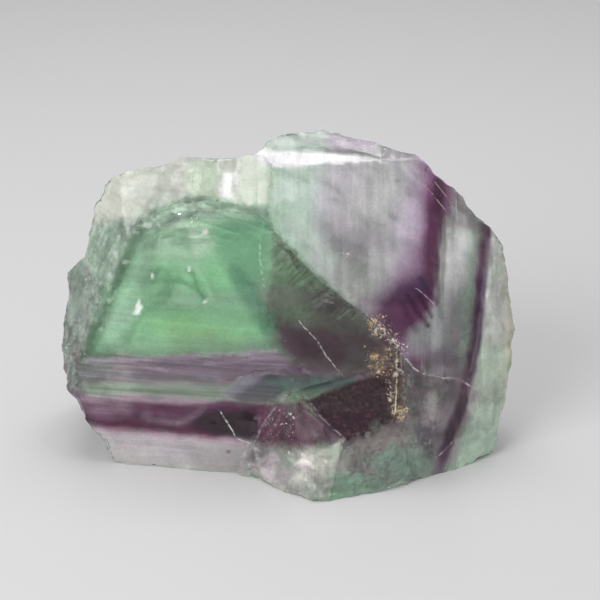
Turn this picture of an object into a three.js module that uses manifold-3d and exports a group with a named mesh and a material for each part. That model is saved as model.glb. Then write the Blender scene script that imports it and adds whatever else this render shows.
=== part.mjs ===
// A hand-sized chunk of banded rainbow fluorite, broken along its cleavage from a larger crystal.
// It is one piece of mineral: big flat cleavage faces, a recessed window in the front, stepped
// ledges between the faces, and shell-shaped chips along the edges.
//
// Frame: millimetres, +Z up, +X to the right and -Y towards the front. The origin is the middle
// of the bounding box at the level of the flat base.
import * as THREE from 'three';
import { mergeVertices } from 'three/addons/utils/BufferGeometryUtils.js';
import Module from 'manifold-3d';

const wasm = await Module();
wasm.setup();

// Driving dimensions, in millimetres and degrees.
const CENTRE_HEIGHT = 20;   // level of the origin of every facet's outline above the base
const FRONT = [0, 25];      // the front is outlined as seen from this turn and height
const BACK = [180, 12];     // and the back from this one
const STOCK = 160;          // side of the blocks that stand for half-spaces
const SCAR_DETAIL = 4;      // fineness of the faceted balls that leave the shell-shaped scars
const OVERLAP = 0.06;       // neighbouring facets overlap by this much, which leaves no fin between

// The outer faces of the chunk. Each is flat, passes through the point `at`, and looks `turn`
// degrees to the right of the front and `lean` degrees above the horizon.
const OUTER_FACES = [
  { name: 'base', turn: 0, lean: -90, at: [0, 0, 0] },
  { name: 'upper front', turn: 8, lean: 28, at: [-2.75, 3.2, 26.4] },
  { name: 'lower front', turn: 8, lean: 26.5, at: [2.2, -9.8, 0] },
  { name: 'lower right', turn: 30.5, lean: 8, at: [6.6, -9.2, 0] },
  { name: 'right rim', turn: 45, lean: 17.6, at: [20.9, 1.4, 16.9] },
  { name: 'left shoulder', turn: -50, lean: 22, at: [-25.5, 1.7, 10.5] },
  { name: 'inner left bevel', turn: -30, lean: 18.4, at: [-24.4, 1.5, 10.6] },
  { name: 'left corner', turn: -130, lean: 40, at: [-20.5, 9.1, 31.7] },
  { name: 'left flank high', turn: -95, lean: 22.2, at: [-26.7, 8.7, 19.5] },
  { name: 'left flank', turn: -96, lean: 1, at: [-27.2, 5, 12.6] },
  { name: 'left undercut', turn: -90, lean: -34, at: [-27, 1.5, 8.6] },
  { name: 'right shoulder high', turn: 130, lean: 31, at: [16.2, 8.3, 30.9] },
  { name: 'right shoulder', turn: 110, lean: 29.7, at: [21.5, 6.4, 25.9] },
  { name: 'right flank', turn: 100, lean: 5.4, at: [24.4, 3.9, 14.4] },
  { name: 'right undercut', turn: 105, lean: -9, at: [24.4, 3.7, 14.5] },
  { name: 'right heel', turn: 110, lean: -20.6, at: [23.3, 1.3, 4.2] },
  { name: 'bright top', turn: 7, lean: 63, at: [-1.1, 7, 33] },
  { name: 'far top', turn: 13, lean: 72.5, at: [9.8, 8.5, 33.1] },
  { name: 'crest right', turn: 150, lean: 45, at: [5.7, 12.8, 34.7] },
  { name: 'crest middle', turn: -165, lean: 55, at: [2.3, 13.4, 35.1] },
  { name: 'back', turn: 168, lean: 6, at: [4, 17, 15] },
  { name: 'back left', turn: -142, lean: 10, at: [-19, 17, 15] },
  { name: 'back right', turn: 126, lean: 4, at: [20.5, 10.5, 14] },
  { name: 'back slope', turn: 176, lean: 48, at: [2, 14.5, 34] },
  { name: 'back undercut', turn: 172, lean: -38, at: [0, 14.5, 4.5] },
];

// Facets sunk into the outside. Each is an outline drawn as seen from `look` and one or more
// flat faces; what lies outside the faces is gone within the outline.
const WINDOW = { turn: -9.1, lean: 12, at: [-21.2, -1.3, 0] };
const FACETS = [
  {
    name: 'window',
    look: FRONT,
    outline: [
      [-36, -28], [-7.4, -28], [-7.4, -19.6], [-3.9, -11.7], [-1.1, -10.2], [4.5, -8.9], [9.5, -7.6],
      [11.1, -5.8], [8.3, -2.8], [2.2, 2.2], [-2.75, 7.2], [-3.75, 10.2], [-8.2, 10.8], [-10.9, 11],
      [-14.8, 10.5], [-18.8, 8.3], [-24, 0], [-36, -4],
    ],
    faces: [WINDOW, { turn: 13.2, lean: 25.5, at: [-9.3, 2.6, 26.7] }],
  },
  {
    name: 'dark pane',
    look: FRONT,
    outline: [[-1.3, -10.1], [0, -11.5], [5, -15.4], [11.6, -12.3], [11.1, -5.8], [9.5, -7.6], [4.5, -8.9]],
    faces: [{ turn: 3.2, lean: 45, at: [0, -2.5, 10.1] }],
  },
  {
    name: 'toe',
    look: FRONT,
    outline: [[-9.5, -28], [-7.4, -19.6], [-3.9, -11.7], [-1.3, -10.1], [0, -11.5], [3.4, -14.2], [4, -28]],
    faces: [{ turn: -35, lean: 20, at: [-7.4, -3.5, 0] }],
  },
  {
    name: 'toe brow',
    look: FRONT,
    outline: [[-4.3, -12.6], [-3.9, -11.7], [-1.3, -10.1], [0, -11.5], [2.6, -13.6], [1.4, -16.6], [-2, -15.4]],
    faces: [{ turn: -14, lean: 40, at: [-1.4, -4.3, 8.2] }],
  },
  {
    name: 'flake',
    look: FRONT,
    outline: [
      [-8.3, -9.8], [-7.1, -8.7], [-5, -8], [-1.7, -7.6], [-0.8, -8.7], [-1.1, -10.4], [-3.4, -11.2],
      [-6.7, -10.7],
    ],
    faces: [{ turn: -7, lean: 21, at: [-4.7, -1.6, 10.2] }],
  },
  {
    name: 'top left bevel',
    look: FRONT,
    outline: [
      [-36, 3], [-24, 4.6], [-18.8, 8.3], [-14.8, 10.5], [-10.9, 11], [-8.2, 10.8], [-3.75, 10.2],
      [-3.1, 14.9], [-4.9, 15.9], [-8, 28], [-36, 28],
    ],
    faces: [{ turn: -5, lean: 33, at: [-3.75, 4.85, 29.2] }],
  },
  {
    name: 'bevel corner',
    look: FRONT,
    outline: [[-21, 7.5], [-18.8, 8.3], [-14.8, 10.5], [-15.2, 17], [-21, 17]],
    faces: [{ turn: -16, lean: 36, at: [-17.5, 7.2, 30.6] }],
  },
  {
    name: 'bevel strip',
    look: FRONT,
    outline: [[-9.3, 10.9], [-9.2, 17], [-7, 17], [-7.2, 10.6]],
    faces: [{ turn: -14, lean: 34, at: [-8.2, 6.9, 31.2] }],
  },
  {
    name: 'bevel end',
    look: FRONT,
    outline: [[-7.2, 10.6], [-7, 17], [-4.9, 17], [-3.2, 14.9], [-3.8, 10.2]],
    faces: [{ turn: 4, lean: 34, at: [-5.2, 6.6, 31.2] }],
  },
  {
    name: 'heel',
    look: FRONT,
    outline: [[5, -15.4], [3.8, -19.8], [3.3, -22.5], [3.3, -28], [16, -28], [10.5, -12.7]],
    faces: [{ turn: 16, lean: 22, at: [4, -8.2, 2.2] }],
  },
  {
    name: 'lower right ledge',
    look: FRONT,
    outline: [
      [11.6, -6.3], [15.5, -8.6], [19.1, -9.8], [22.9, -11.7], [32, -12.5], [32, -28], [13.6, -28],
      [12.2, -18], [10.5, -12.7],
    ],
    faces: [{ turn: 27, lean: 9, at: [15.5, -1.7, 11.3] }],
  },
  {
    name: 'left crest',
    look: FRONT,
    outline: [[-36, 8], [-5.3, 8], [-5.3, 16], [-3.9, 17.4], [-3.9, 28], [-36, 28]],
    faces: [
      { turn: 181, lean: 53, at: [-5.3, 8.1, 34] },
      { turn: 193, lean: 45, at: [-12.2, 8.5, 33.6] },
    ],
  },
  {
    name: 'right crest',
    look: FRONT,
    outline: [[-5.4, 12], [2.4, 12], [2.4, 30], [-5.4, 30]],
    faces: [{ turn: -138, lean: 46, at: [-1.1, 12.5, 35] }],
  },
  {
    name: 'left notch',
    look: FRONT,
    outline: [[-40, 3.3], [-26.7, 3.2], [-24.5, 4.8], [-24.1, 6.8], [-23.4, 10.2], [-40, 10.2]],
    faces: [{ turn: -88, lean: 12, at: [-24.2, 8, 22] }],
  },
  {
    name: 'back pane',
    look: BACK,
    outline: [[-15, -9], [-4, -12], [6, -11], [9, 4], [2, 11], [-9, 9.5], [-16, 2]],
    faces: [{ turn: 160, lean: 12, at: [4, 16.2, 15] }],
  },
  {
    name: 'back brow',
    look: BACK,
    outline: [[-14, 6], [-3, 9], [3.5, 7], [4.5, 20], [-14, 20]],
    faces: [{ turn: 172, lean: 30, at: [4, 17.7, 28] }],
  },
  {
    name: 'back heel',
    look: BACK,
    outline: [[-20, -26], [-4, -26], [-1.5, -12], [-8, -10], [-20, -13]],
    faces: [{ turn: 156, lean: -30, at: [9, 12.6, 5] }],
  },
  {
    name: 'back ledge',
    look: BACK,
    outline: [[5.5, -12], [16, -8.5], [19, 3], [14, 7], [8.8, 4.2]],
    faces: [{ turn: -170, lean: 2, at: [-11, 19.4, 14] }],
  },
];

// Shell-shaped scars where chips have come off. Each is centred at `at`, looks towards `look`,
// and is `wide` and `tall` across on a flat face of its own, `deep` in the middle, with the wide
// way turned by `roll` degrees.
const CHIPS = [
  // along the left side
  { at: [-26.9, 7.2, 16.9], look: [-75, 10], wide: 4, tall: 5.2, deep: 0.45, roll: 8 },
  { at: [-27, 3.4, 10.6], look: [-75, -5], wide: 3.6, tall: 4.4, deep: 0.4, roll: -10 },
  { at: [-25.3, 0.7, 6.3], look: [-60, -15], wide: 3, tall: 3.6, deep: 0.45, roll: 20 },
  { at: [-22.8, -0.5, 2.5], look: [-60, -22], wide: 2.6, tall: 3, deep: 0.35, roll: 0 },
  { at: [-22.5, 9.5, 28.8], look: [-75, 35], wide: 3.6, tall: 4, deep: 0.4, roll: 15 },
  { at: [-20.4, 8.8, 31.5], look: [-60, 52], wide: 3.4, tall: 2.8, deep: 0.35, roll: 0 },
  { at: [-19.8, 4.1, 24.6], look: [-36, 19], wide: 1.6, tall: 7, deep: 0.25, roll: -16 },
  { at: [-25.8, 3.1, 13.4], look: [-42, 18], wide: 2, tall: 6, deep: 0.35, roll: -12 },
  // under the top left bevel
  { at: [-16.5, 4.6, 28.6], look: [-15, 48], wide: 5, tall: 2.8, deep: 0.45, roll: 20 },
  { at: [-13.2, 4.5, 29.7], look: [-5, 52], wide: 4.4, tall: 3, deep: 0.55, roll: 6 },
  { at: [-9.6, 3.9, 30], look: [0, 50], wide: 5, tall: 3.2, deep: 0.5, roll: -4 },
  { at: [-6, 4.3, 29.5], look: [6, 50], wide: 3.8, tall: 2.4, deep: 0.35, roll: -8 },
  // along the crests
  { at: [-17.6, 8.3, 32.6], look: [-170, 76], wide: 5.4, tall: 3, deep: 0.3, roll: 0 },
  { at: [-11.6, 8.5, 33.7], look: [178, 80], wide: 5, tall: 3, deep: 0.25, roll: 0 },
  { at: [0.4, 13.1, 35.1], look: [178, 80], wide: 4, tall: 3.2, deep: 0.3, roll: 0 },
  { at: [6.2, 12.6, 34.6], look: [165, 76], wide: 5, tall: 3.2, deep: 0.35, roll: 10 },
  { at: [11.2, 10.2, 33.6], look: [140, 72], wide: 4, tall: 2.8, deep: 0.3, roll: 0 },
  // along the right side
  { at: [15.9, 8.4, 31.1], look: [95, 50], wide: 4.6, tall: 4, deep: 0.3, roll: 0 },
  { at: [19.6, 7.1, 27.6], look: [92, 42], wide: 3.4, tall: 4.6, deep: 0.35, roll: 0 },
  { at: [22.1, 6.3, 24.9], look: [80, 34], wide: 3.2, tall: 3.6, deep: 0.35, roll: 0 },
  { at: [24.2, 5.2, 18.6], look: [72, 10], wide: 3, tall: 4.8, deep: 0.25, roll: 6 },
  { at: [24.4, 3.4, 13.6], look: [68, -2], wide: 3.6, tall: 5, deep: 0.35, roll: -8 },
  { at: [23.3, 1.5, 5], look: [70, -14], wide: 3.6, tall: 4.4, deep: 0.35, roll: 12 },
  { at: [21, -1, 0.6], look: [50, -30], wide: 4.2, tall: 3.2, deep: 0.4, roll: 0 },
  // along the foot
  { at: [-17, -2.1, 0.1], look: [-9, -28], wide: 5, tall: 2.4, deep: 0.25, roll: 0 },
  { at: [-4.6, -5.4, 0.2], look: [-35, -18], wide: 4, tall: 2.4, deep: 0.3, roll: 0 },
  { at: [2.2, -9.8, 0.3], look: [10, -14], wide: 4, tall: 2.4, deep: 0.3, roll: 0 },
  { at: [11.2, -6.7, 0.2], look: [24, -26], wide: 5, tall: 2.4, deep: 0.3, roll: 0 },
  // on the edges of the front
  { at: [4.6, -6.7, 6.4], look: [-10, 46], wide: 3, tall: 2.2, deep: 0.35, roll: -34 },
  { at: [1.8, -5.9, 8.4], look: [-12, 44], wide: 3.2, tall: 2, deep: 0.35, roll: -40 },
  { at: [11, -3.9, 8.6], look: [16, 36], wide: 3.2, tall: 2, deep: 0.35, roll: 10 },
  { at: [5.2, 0.6, 19.2], look: [-10, 20], wide: 2.6, tall: 1.6, deep: 0.3, roll: -42 },
  // on the back
  { at: [-4, 17.8, 27], look: [176, 34], wide: 13, tall: 8, deep: 1, roll: 8 },
  { at: [10.5, 14.4, 8.4], look: [158, -8], wide: 11, tall: 7, deep: 1, roll: -20 },
  { at: [-14, 18.4, 7.4], look: [-166, -16], wide: 9, tall: 6, deep: 0.9, roll: 15 },
  { at: [17.8, 12.4, 21], look: [140, 18], wide: 5.5, tall: 10, deep: 0.8, roll: 0 },
  { at: [-20, 16.8, 12], look: [-146, 2], wide: 6, tall: 9, deep: 0.8, roll: 0 },
  { at: [-18.8, 13.2, 25.4], look: [-146, 30], wide: 12, tall: 5, deep: 0.5, roll: -8 },
  { at: [16.6, 10.6, 3.4], look: [140, -24], wide: 7, tall: 5, deep: 0.8, roll: 0 },
];

const UP = new THREE.Vector3(0, 0, 1);

// The outward direction of a face.
function outward(turn, lean) {
  const t = THREE.MathUtils.degToRad(turn);
  const l = THREE.MathUtils.degToRad(lean);
  return new THREE.Vector3(Math.sin(t) * Math.cos(l), -Math.cos(t) * Math.cos(l), Math.sin(l));
}

// Axes as seen from a turn and height: to the right, up, and towards the viewer.
function viewBasis([turn, lean]) {
  const w = outward(turn, lean);
  const u = outward(turn + 90, 0);
  return new THREE.Matrix4().makeBasis(u, new THREE.Vector3().crossVectors(w, u), w);
}

// A closed three.js geometry as a manifold solid.
function solidOf(geometry) {
  const bare = geometry.clone();
  bare.deleteAttribute('normal');
  bare.deleteAttribute('uv');
  const merged = mergeVertices(bare, 1e-4);
  return new wasm.Manifold(new wasm.Mesh({
    numProp: 3,
    vertProperties: new Float32Array(merged.attributes.position.array),
    triVerts: new Uint32Array(merged.index.array),
  }));
}

// A block that fills everything outside a face.
function outsideOf({ turn, lean, at }) {
  const block = new THREE.BoxGeometry(STOCK, STOCK, STOCK);
  block.translate(0, 0, STOCK / 2);
  block.applyQuaternion(new THREE.Quaternion().setFromUnitVectors(UP, outward(turn, lean)));
  block.translate(...at);
  return solidOf(block);
}

// An anticlockwise or clockwise outline with every side moved outwards by the overlap.
function grown(outline) {
  const points = outline.map((point) => new THREE.Vector2(...point));
  const side = Math.sign(THREE.ShapeUtils.area(points)) * OVERLAP;
  return points.map((point, i) => {
    const before = points.at(i - 1);
    const after = points[(i + 1) % points.length];
    const along = point.clone().sub(before).normalize().add(after.clone().sub(point).normalize());
    along.normalize();
    return new THREE.Vector2(point.x + along.y * side, point.y - along.x * side);
  });
}

// A prism through the whole chunk, with its outline drawn as seen from the given turn and height.
function prism(outline, look) {
  const shape = new THREE.Shape(grown(outline));
  const bar = new THREE.ExtrudeGeometry(shape, { depth: STOCK, bevelEnabled: false });
  bar.translate(0, 0, -STOCK / 2);
  bar.applyMatrix4(viewBasis(look));
  bar.translate(0, 0, CENTRE_HEIGHT);
  return solidOf(bar);
}

// The chunk bounded by its outer faces.
function rawChunk() {
  let chunk = solidOf(new THREE.BoxGeometry(STOCK, STOCK, STOCK));
  for (const face of OUTER_FACES) {
    chunk = chunk.subtract(outsideOf(face));
  }
  return chunk;
}

// Sinks one facet into the chunk.
function sinkFacet(chunk, { outline, look, faces }) {
  const bar = prism(outline, look);
  let cut = chunk;
  for (const face of faces) {
    cut = cut.subtract(bar.intersect(outsideOf(face)));
  }
  return cut;
}

// The flattened ball that leaves a shell-shaped scar.
function scar({ at, look, wide, tall, deep, roll }) {
  const radius = (tall * tall / 4 + deep * deep) / (2 * deep);
  const ball = new THREE.IcosahedronGeometry(radius, SCAR_DETAIL);
  ball.scale(wide / tall, 1, 1);
  ball.rotateZ(THREE.MathUtils.degToRad(roll));
  ball.translate(0, 0, radius - deep);
  ball.applyMatrix4(viewBasis(look));
  ball.translate(...at);
  return solidOf(ball);
}

// A manifold solid as a three.js geometry.
function geometryOf(solid) {
  const { vertProperties, triVerts } = solid.getMesh();
  const geometry = new THREE.BufferGeometry();
  geometry.setAttribute('position', new THREE.BufferAttribute(new Float32Array(vertProperties), 3));
  geometry.setIndex(new THREE.BufferAttribute(new Uint32Array(triVerts), 1));
  return geometry;
}

// Puts the origin at the middle of the bounding box, at the level of the base.
function centreOnBase(geometry) {
  geometry.computeBoundingBox();
  const { min, max } = geometry.boundingBox;
  geometry.translate(-(min.x + max.x) / 2, -(min.y + max.y) / 2, -min.z);
}

let chunk = rawChunk();
for (const facet of FACETS) {
  chunk = sinkFacet(chunk, facet);
}
for (const chip of CHIPS) {
  chunk = chunk.subtract(scar(chip));
}

const geometry = geometryOf(chunk);
centreOnBase(geometry);
const flatShaded = geometry.toNonIndexed();
flatShaded.computeVertexNormals();

const fluorite = new THREE.MeshStandardMaterial({ color: 0x7fa98a, roughness: 0.18, metalness: 0 });
const crystal = new THREE.Mesh(flatShaded, fluorite);
crystal.name = 'fluorite_chunk';

const part = new THREE.Group();
part.add(crystal);

export default part;
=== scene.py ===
"""A rough broken chunk of clear, colour-banded fluorite, standing on a pale floor.

Sizes are millimetres until they reach Blender. "Front plane" places are (across, up): across is the
object's own X, and up is measured up the sloping front, which leans back by FRONT_LEAN. Colours are
written as 0 to 255 screen values.
"""

import math

import bmesh
import bpy
import numpy as np
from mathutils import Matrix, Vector
from mathutils.kdtree import KDTree


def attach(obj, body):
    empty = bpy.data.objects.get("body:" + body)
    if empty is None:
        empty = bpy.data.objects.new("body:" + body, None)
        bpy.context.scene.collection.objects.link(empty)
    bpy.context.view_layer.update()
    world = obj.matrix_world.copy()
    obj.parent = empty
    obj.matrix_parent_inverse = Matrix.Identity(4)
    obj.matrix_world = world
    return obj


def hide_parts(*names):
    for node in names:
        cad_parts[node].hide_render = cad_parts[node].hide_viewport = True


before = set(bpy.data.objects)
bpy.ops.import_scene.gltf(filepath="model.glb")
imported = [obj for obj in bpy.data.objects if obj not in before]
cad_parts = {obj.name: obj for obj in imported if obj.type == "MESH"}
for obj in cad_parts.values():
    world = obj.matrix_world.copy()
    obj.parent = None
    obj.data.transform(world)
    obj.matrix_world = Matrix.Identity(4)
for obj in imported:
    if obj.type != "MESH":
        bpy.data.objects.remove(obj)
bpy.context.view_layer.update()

MM = 0.001
NODE = "fluorite_chunk"
FRONT_LEAN = math.radians(25)

# ---------------------------------------------------------------- camera, floor and light

CAMERA_TARGET = (1.453, -5.832, 20.0)
CAMERA_DISTANCE = 180.0
CAMERA_LENS = 98.18
CAMERA_CLIP = 10.0
FLOOR_WIDTH = 1600.0
FLOOR_GAP = 0.02
FLOOR_TONE = (220, 219, 219)
FLOOR_ROUGHNESS = 0.35
SKY_TONE = (229, 229, 232)
SKY_STRENGTH = 0.5
# Each softbox: name, place, aim, width, height (mm), power (W).
SOFTBOXES = [
    ("overhead", (0, 90, 300), (0, 0, 20), 240, 160, 0.42),
    ("front left", (-240, -260, 240), (0, 0, 15), 260, 260, 1.0),
]


def srgb(red, green, blue):
    """A colour of 0 to 255 screen values as the linear values that Blender wants."""
    values = [channel / 255 for channel in (red, green, blue)]
    return tuple(v / 12.92 if v <= 0.04045 else ((v + 0.055) / 1.055) ** 2.4 for v in values)


def rgba(tone):
    """The same as an opaque colour, for a shader socket."""
    return (*srgb(*tone), 1)


def add_camera():
    target = Vector(CAMERA_TARGET)
    towards = Vector((0, -math.cos(FRONT_LEAN), math.sin(FRONT_LEAN)))
    data = bpy.data.cameras.new("camera")
    data.lens = CAMERA_LENS
    data.clip_start = CAMERA_CLIP * MM
    camera = bpy.data.objects.new("camera", data)
    camera.location = (target + towards * CAMERA_DISTANCE) * MM
    camera.rotation_euler = towards.to_track_quat("Z", "Y").to_euler()
    bpy.context.scene.collection.objects.link(camera)
    bpy.context.scene.camera = camera


def add_floor():
    mesh = bpy.data.meshes.new("floor")
    half = FLOOR_WIDTH / 2 * MM
    level = -FLOOR_GAP * MM
    corners = [(-half, -half, level), (half, -half, level), (half, half, level), (-half, half, level)]
    mesh.from_pydata(corners, [], [(0, 1, 2, 3)])
    floor = bpy.data.objects.new("floor", mesh)
    bpy.context.scene.collection.objects.link(floor)
    material = bpy.data.materials.new("floor")
    material.use_nodes = True
    shader = material.node_tree.nodes["Principled BSDF"]
    shader.inputs["Base Color"].default_value = rgba(FLOOR_TONE)
    shader.inputs["Roughness"].default_value = FLOOR_ROUGHNESS
    mesh.materials.append(material)


def add_softbox(name, place, aim, width, height, power):
    data = bpy.data.lights.new(name, "AREA")
    data.shape = "RECTANGLE"
    data.size = width * MM
    data.size_y = height * MM
    data.energy = power
    light = bpy.data.objects.new(name, data)
    light.location = Vector(place) * MM
    light.rotation_euler = (Vector(place) - Vector(aim)).to_track_quat("Z", "Y").to_euler()
    bpy.context.scene.collection.objects.link(light)


def add_lights():
    world = bpy.data.worlds.new("studio")
    world.use_nodes = True
    background = world.node_tree.nodes["Background"]
    background.inputs["Color"].default_value = rgba(SKY_TONE)
    background.inputs["Strength"].default_value = SKY_STRENGTH
    bpy.context.scene.world = world
    for softbox in SOFTBOXES:
        add_softbox(*softbox)
    bpy.context.scene.view_settings.view_transform = "Standard"


# ---------------------------------------------------------------- noise

# Every seed below starts its own noise. The large numbers in cell_random only scatter the bits.
CORNER_STEPS = [(i, j, k) for i in (0, 1) for j in (0, 1) for k in (0, 1)]
NEIGHBOUR_CELLS = [(i, j, k) for i in (-1, 0, 1) for j in (-1, 0, 1) for k in (-1, 0, 1)]
FACET_SCATTER = 0.45
FACET_HEIGHT = 0.35
FACET_TILT = 0.6


def cell_random(cells, seed):
    """One repeatable random number from -1 to 1 for each whole-number cell."""
    x, y, z = cells.astype(np.int64).T
    mixed = x * 73856093 ^ y * 19349663 ^ z * 83492791 ^ (seed * 40503 + 7)
    mixed = (mixed ^ (mixed >> 13)) * 1274126177 & 0xFFFFFFFF
    mixed = (mixed ^ (mixed >> 15)) * 2246822519 & 0xFFFFFFFF
    return ((mixed >> 8) & 0xFFFF) / 32767.5 - 1


def smooth_noise(points, size, seed):
    """Soft hills and hollows from -1 to 1, about as wide as size."""
    scaled = points / size
    base = np.floor(scaled)
    part = scaled - base
    part = part * part * (3 - 2 * part)
    total = np.zeros(len(points))
    for step in CORNER_STEPS:
        weight = np.ones(len(points))
        for axis in range(3):
            weight *= part[:, axis] if step[axis] else 1 - part[:, axis]
        total += weight * cell_random(base + step, seed)
    return total


def fractal(points, size, seed, octaves=3):
    """The same hills with smaller ones on them, each octave half as wide and half as high."""
    total = np.zeros(len(points))
    for octave in range(octaves):
        total += smooth_noise(points, size / 2**octave, seed + octave) / 2**octave
    return total


def wander(points, waver, seeds, octaves=3):
    """A small shift for each point: waver is its size and amount, with one seed for each direction."""
    size, amount = waver
    return np.stack([fractal(points, size, seed, octaves) for seed in seeds], 1) * amount


def shards(points, size, seed):
    """Relief of broken angular cells: each cell is a small flat facet with its own height and slope."""
    scaled = points / size
    base = np.floor(scaled)
    nearest = np.full(len(points), 1e9)
    relief = np.zeros(len(points))
    for step in NEIGHBOUR_CELLS:
        cell = base + step
        centre = cell + 0.5 + FACET_SCATTER * np.stack([cell_random(cell, seed + k) for k in range(3)], 1)
        offset = scaled - centre
        distance = (offset**2).sum(1)
        slope = np.stack([cell_random(cell, seed + 3 + k) for k in range(3)], 1)
        height = FACET_HEIGHT * cell_random(cell, seed + 6) + FACET_TILT * (offset * slope).sum(1)
        closer = distance < nearest
        nearest = np.where(closer, distance, nearest)
        relief = np.where(closer, height, relief)
    return relief


def smoothstep(low, high, value):
    """A soft rise from 0 at low to 1 at high; low may be the larger one."""
    part = np.clip((value - low) / (high - low), 0, 1)
    return part * part * (3 - 2 * part)


# ---------------------------------------------------------------- mesh

REMESH_DEPTH = 8
REMESH_SCALE = 0.7
MERGE_DISTANCE = 0.0001
SHARP_EDGE = math.radians(15)
EDGE_STEP = 0.25


def merged_copy(node):
    """A copy of the CAD node's mesh with its split corners joined, so that it is closed."""
    mesh = node.data.copy()
    edit = bmesh.new()
    edit.from_mesh(mesh)
    bmesh.ops.remove_doubles(edit, verts=edit.verts, dist=MERGE_DISTANCE * MM)
    edit.to_mesh(mesh)
    edit.free()
    return mesh


def remeshed(mesh):
    """The same solid in even quads of about 0.3 mm, with its sharp edges kept."""
    source = bpy.data.objects.new("remesh source", mesh)
    bpy.context.scene.collection.objects.link(source)
    modifier = source.modifiers.new("remesh", "REMESH")
    modifier.mode = "SHARP"
    modifier.octree_depth = REMESH_DEPTH
    modifier.scale = REMESH_SCALE
    modifier.use_remove_disconnected = True
    evaluated = source.evaluated_get(bpy.context.evaluated_depsgraph_get())
    fine = bpy.data.meshes.new_from_object(evaluated)
    bpy.data.objects.remove(source)
    return fine


def vertex_values(mesh, name):
    values = np.zeros(len(mesh.vertices) * 3)
    mesh.vertices.foreach_get(name, values)
    return values.reshape(-1, 3)


def set_points(mesh, points):
    mesh.vertices.foreach_set("co", (points * MM).ravel())
    mesh.update()


def edge_distance(mesh, points):
    """How far each point lies from the nearest sharp edge of the faceted solid."""
    edit = bmesh.new()
    edit.from_mesh(mesh)
    samples = []
    for edge in edit.edges:
        if edge.calc_face_angle(0) > SHARP_EDGE:
            start, end = (np.array(v.co) / MM for v in edge.verts)
            steps = max(2, int(np.linalg.norm(end - start) / EDGE_STEP))
            samples += [start + (end - start) * i / steps for i in range(steps + 1)]
    edit.free()
    tree = KDTree(len(samples))
    for index, sample in enumerate(samples):
        tree.insert(sample, index)
    tree.balance()
    return np.array([tree.find(p)[2] for p in points])


def front_plane(points):
    """Places on the sloping front: across, and up the slope."""
    up = points[:, 1] * math.sin(FRONT_LEAN) + points[:, 2] * math.cos(FRONT_LEAN)
    return np.stack([points[:, 0], up], 1)


# ---------------------------------------------------------------- paint

# The cosines between which the front's paint fades in on a face that turns towards the front.
FRONT_FACING = (0.05, 0.3)
# How the outlines, strokes, chips and lines waver: size and amount (mm). FRAY is for broken places.
PATCH_WANDER = (2.2, 0.22)
FRAY = (1.1, 0.38)
STROKE_WANDER = (1.2, 0.12)
CHIP_WANDER = (0.5, 0.18)
LINE_WANDER = (1.0, 0.07)
# Where strokes, chips and lines end and where they are full, in half widths from their middle.
STROKE_FADE = (1.6, 0.4)
CHIP_FADE = (1.3, 0.6)
LINE_FADE = (1.2, 0.5)
# How strong a stroke is on average, how far that varies, over what size (mm), and the least and the most.
STROKE_MEAN = 0.92
STROKE_SWING = 0.3
STROKE_GRAIN = 0.8
STROKE_LIMITS = (0.5, 1.08)
# How clear and how dull the stone is where it has no paint.
BODY_CLEAR = 0.85
BODY_HAZE = 0.15
# How much of its clearness the stone loses under a full blurred stroke.
STROKE_DULLING = 0.6
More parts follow.
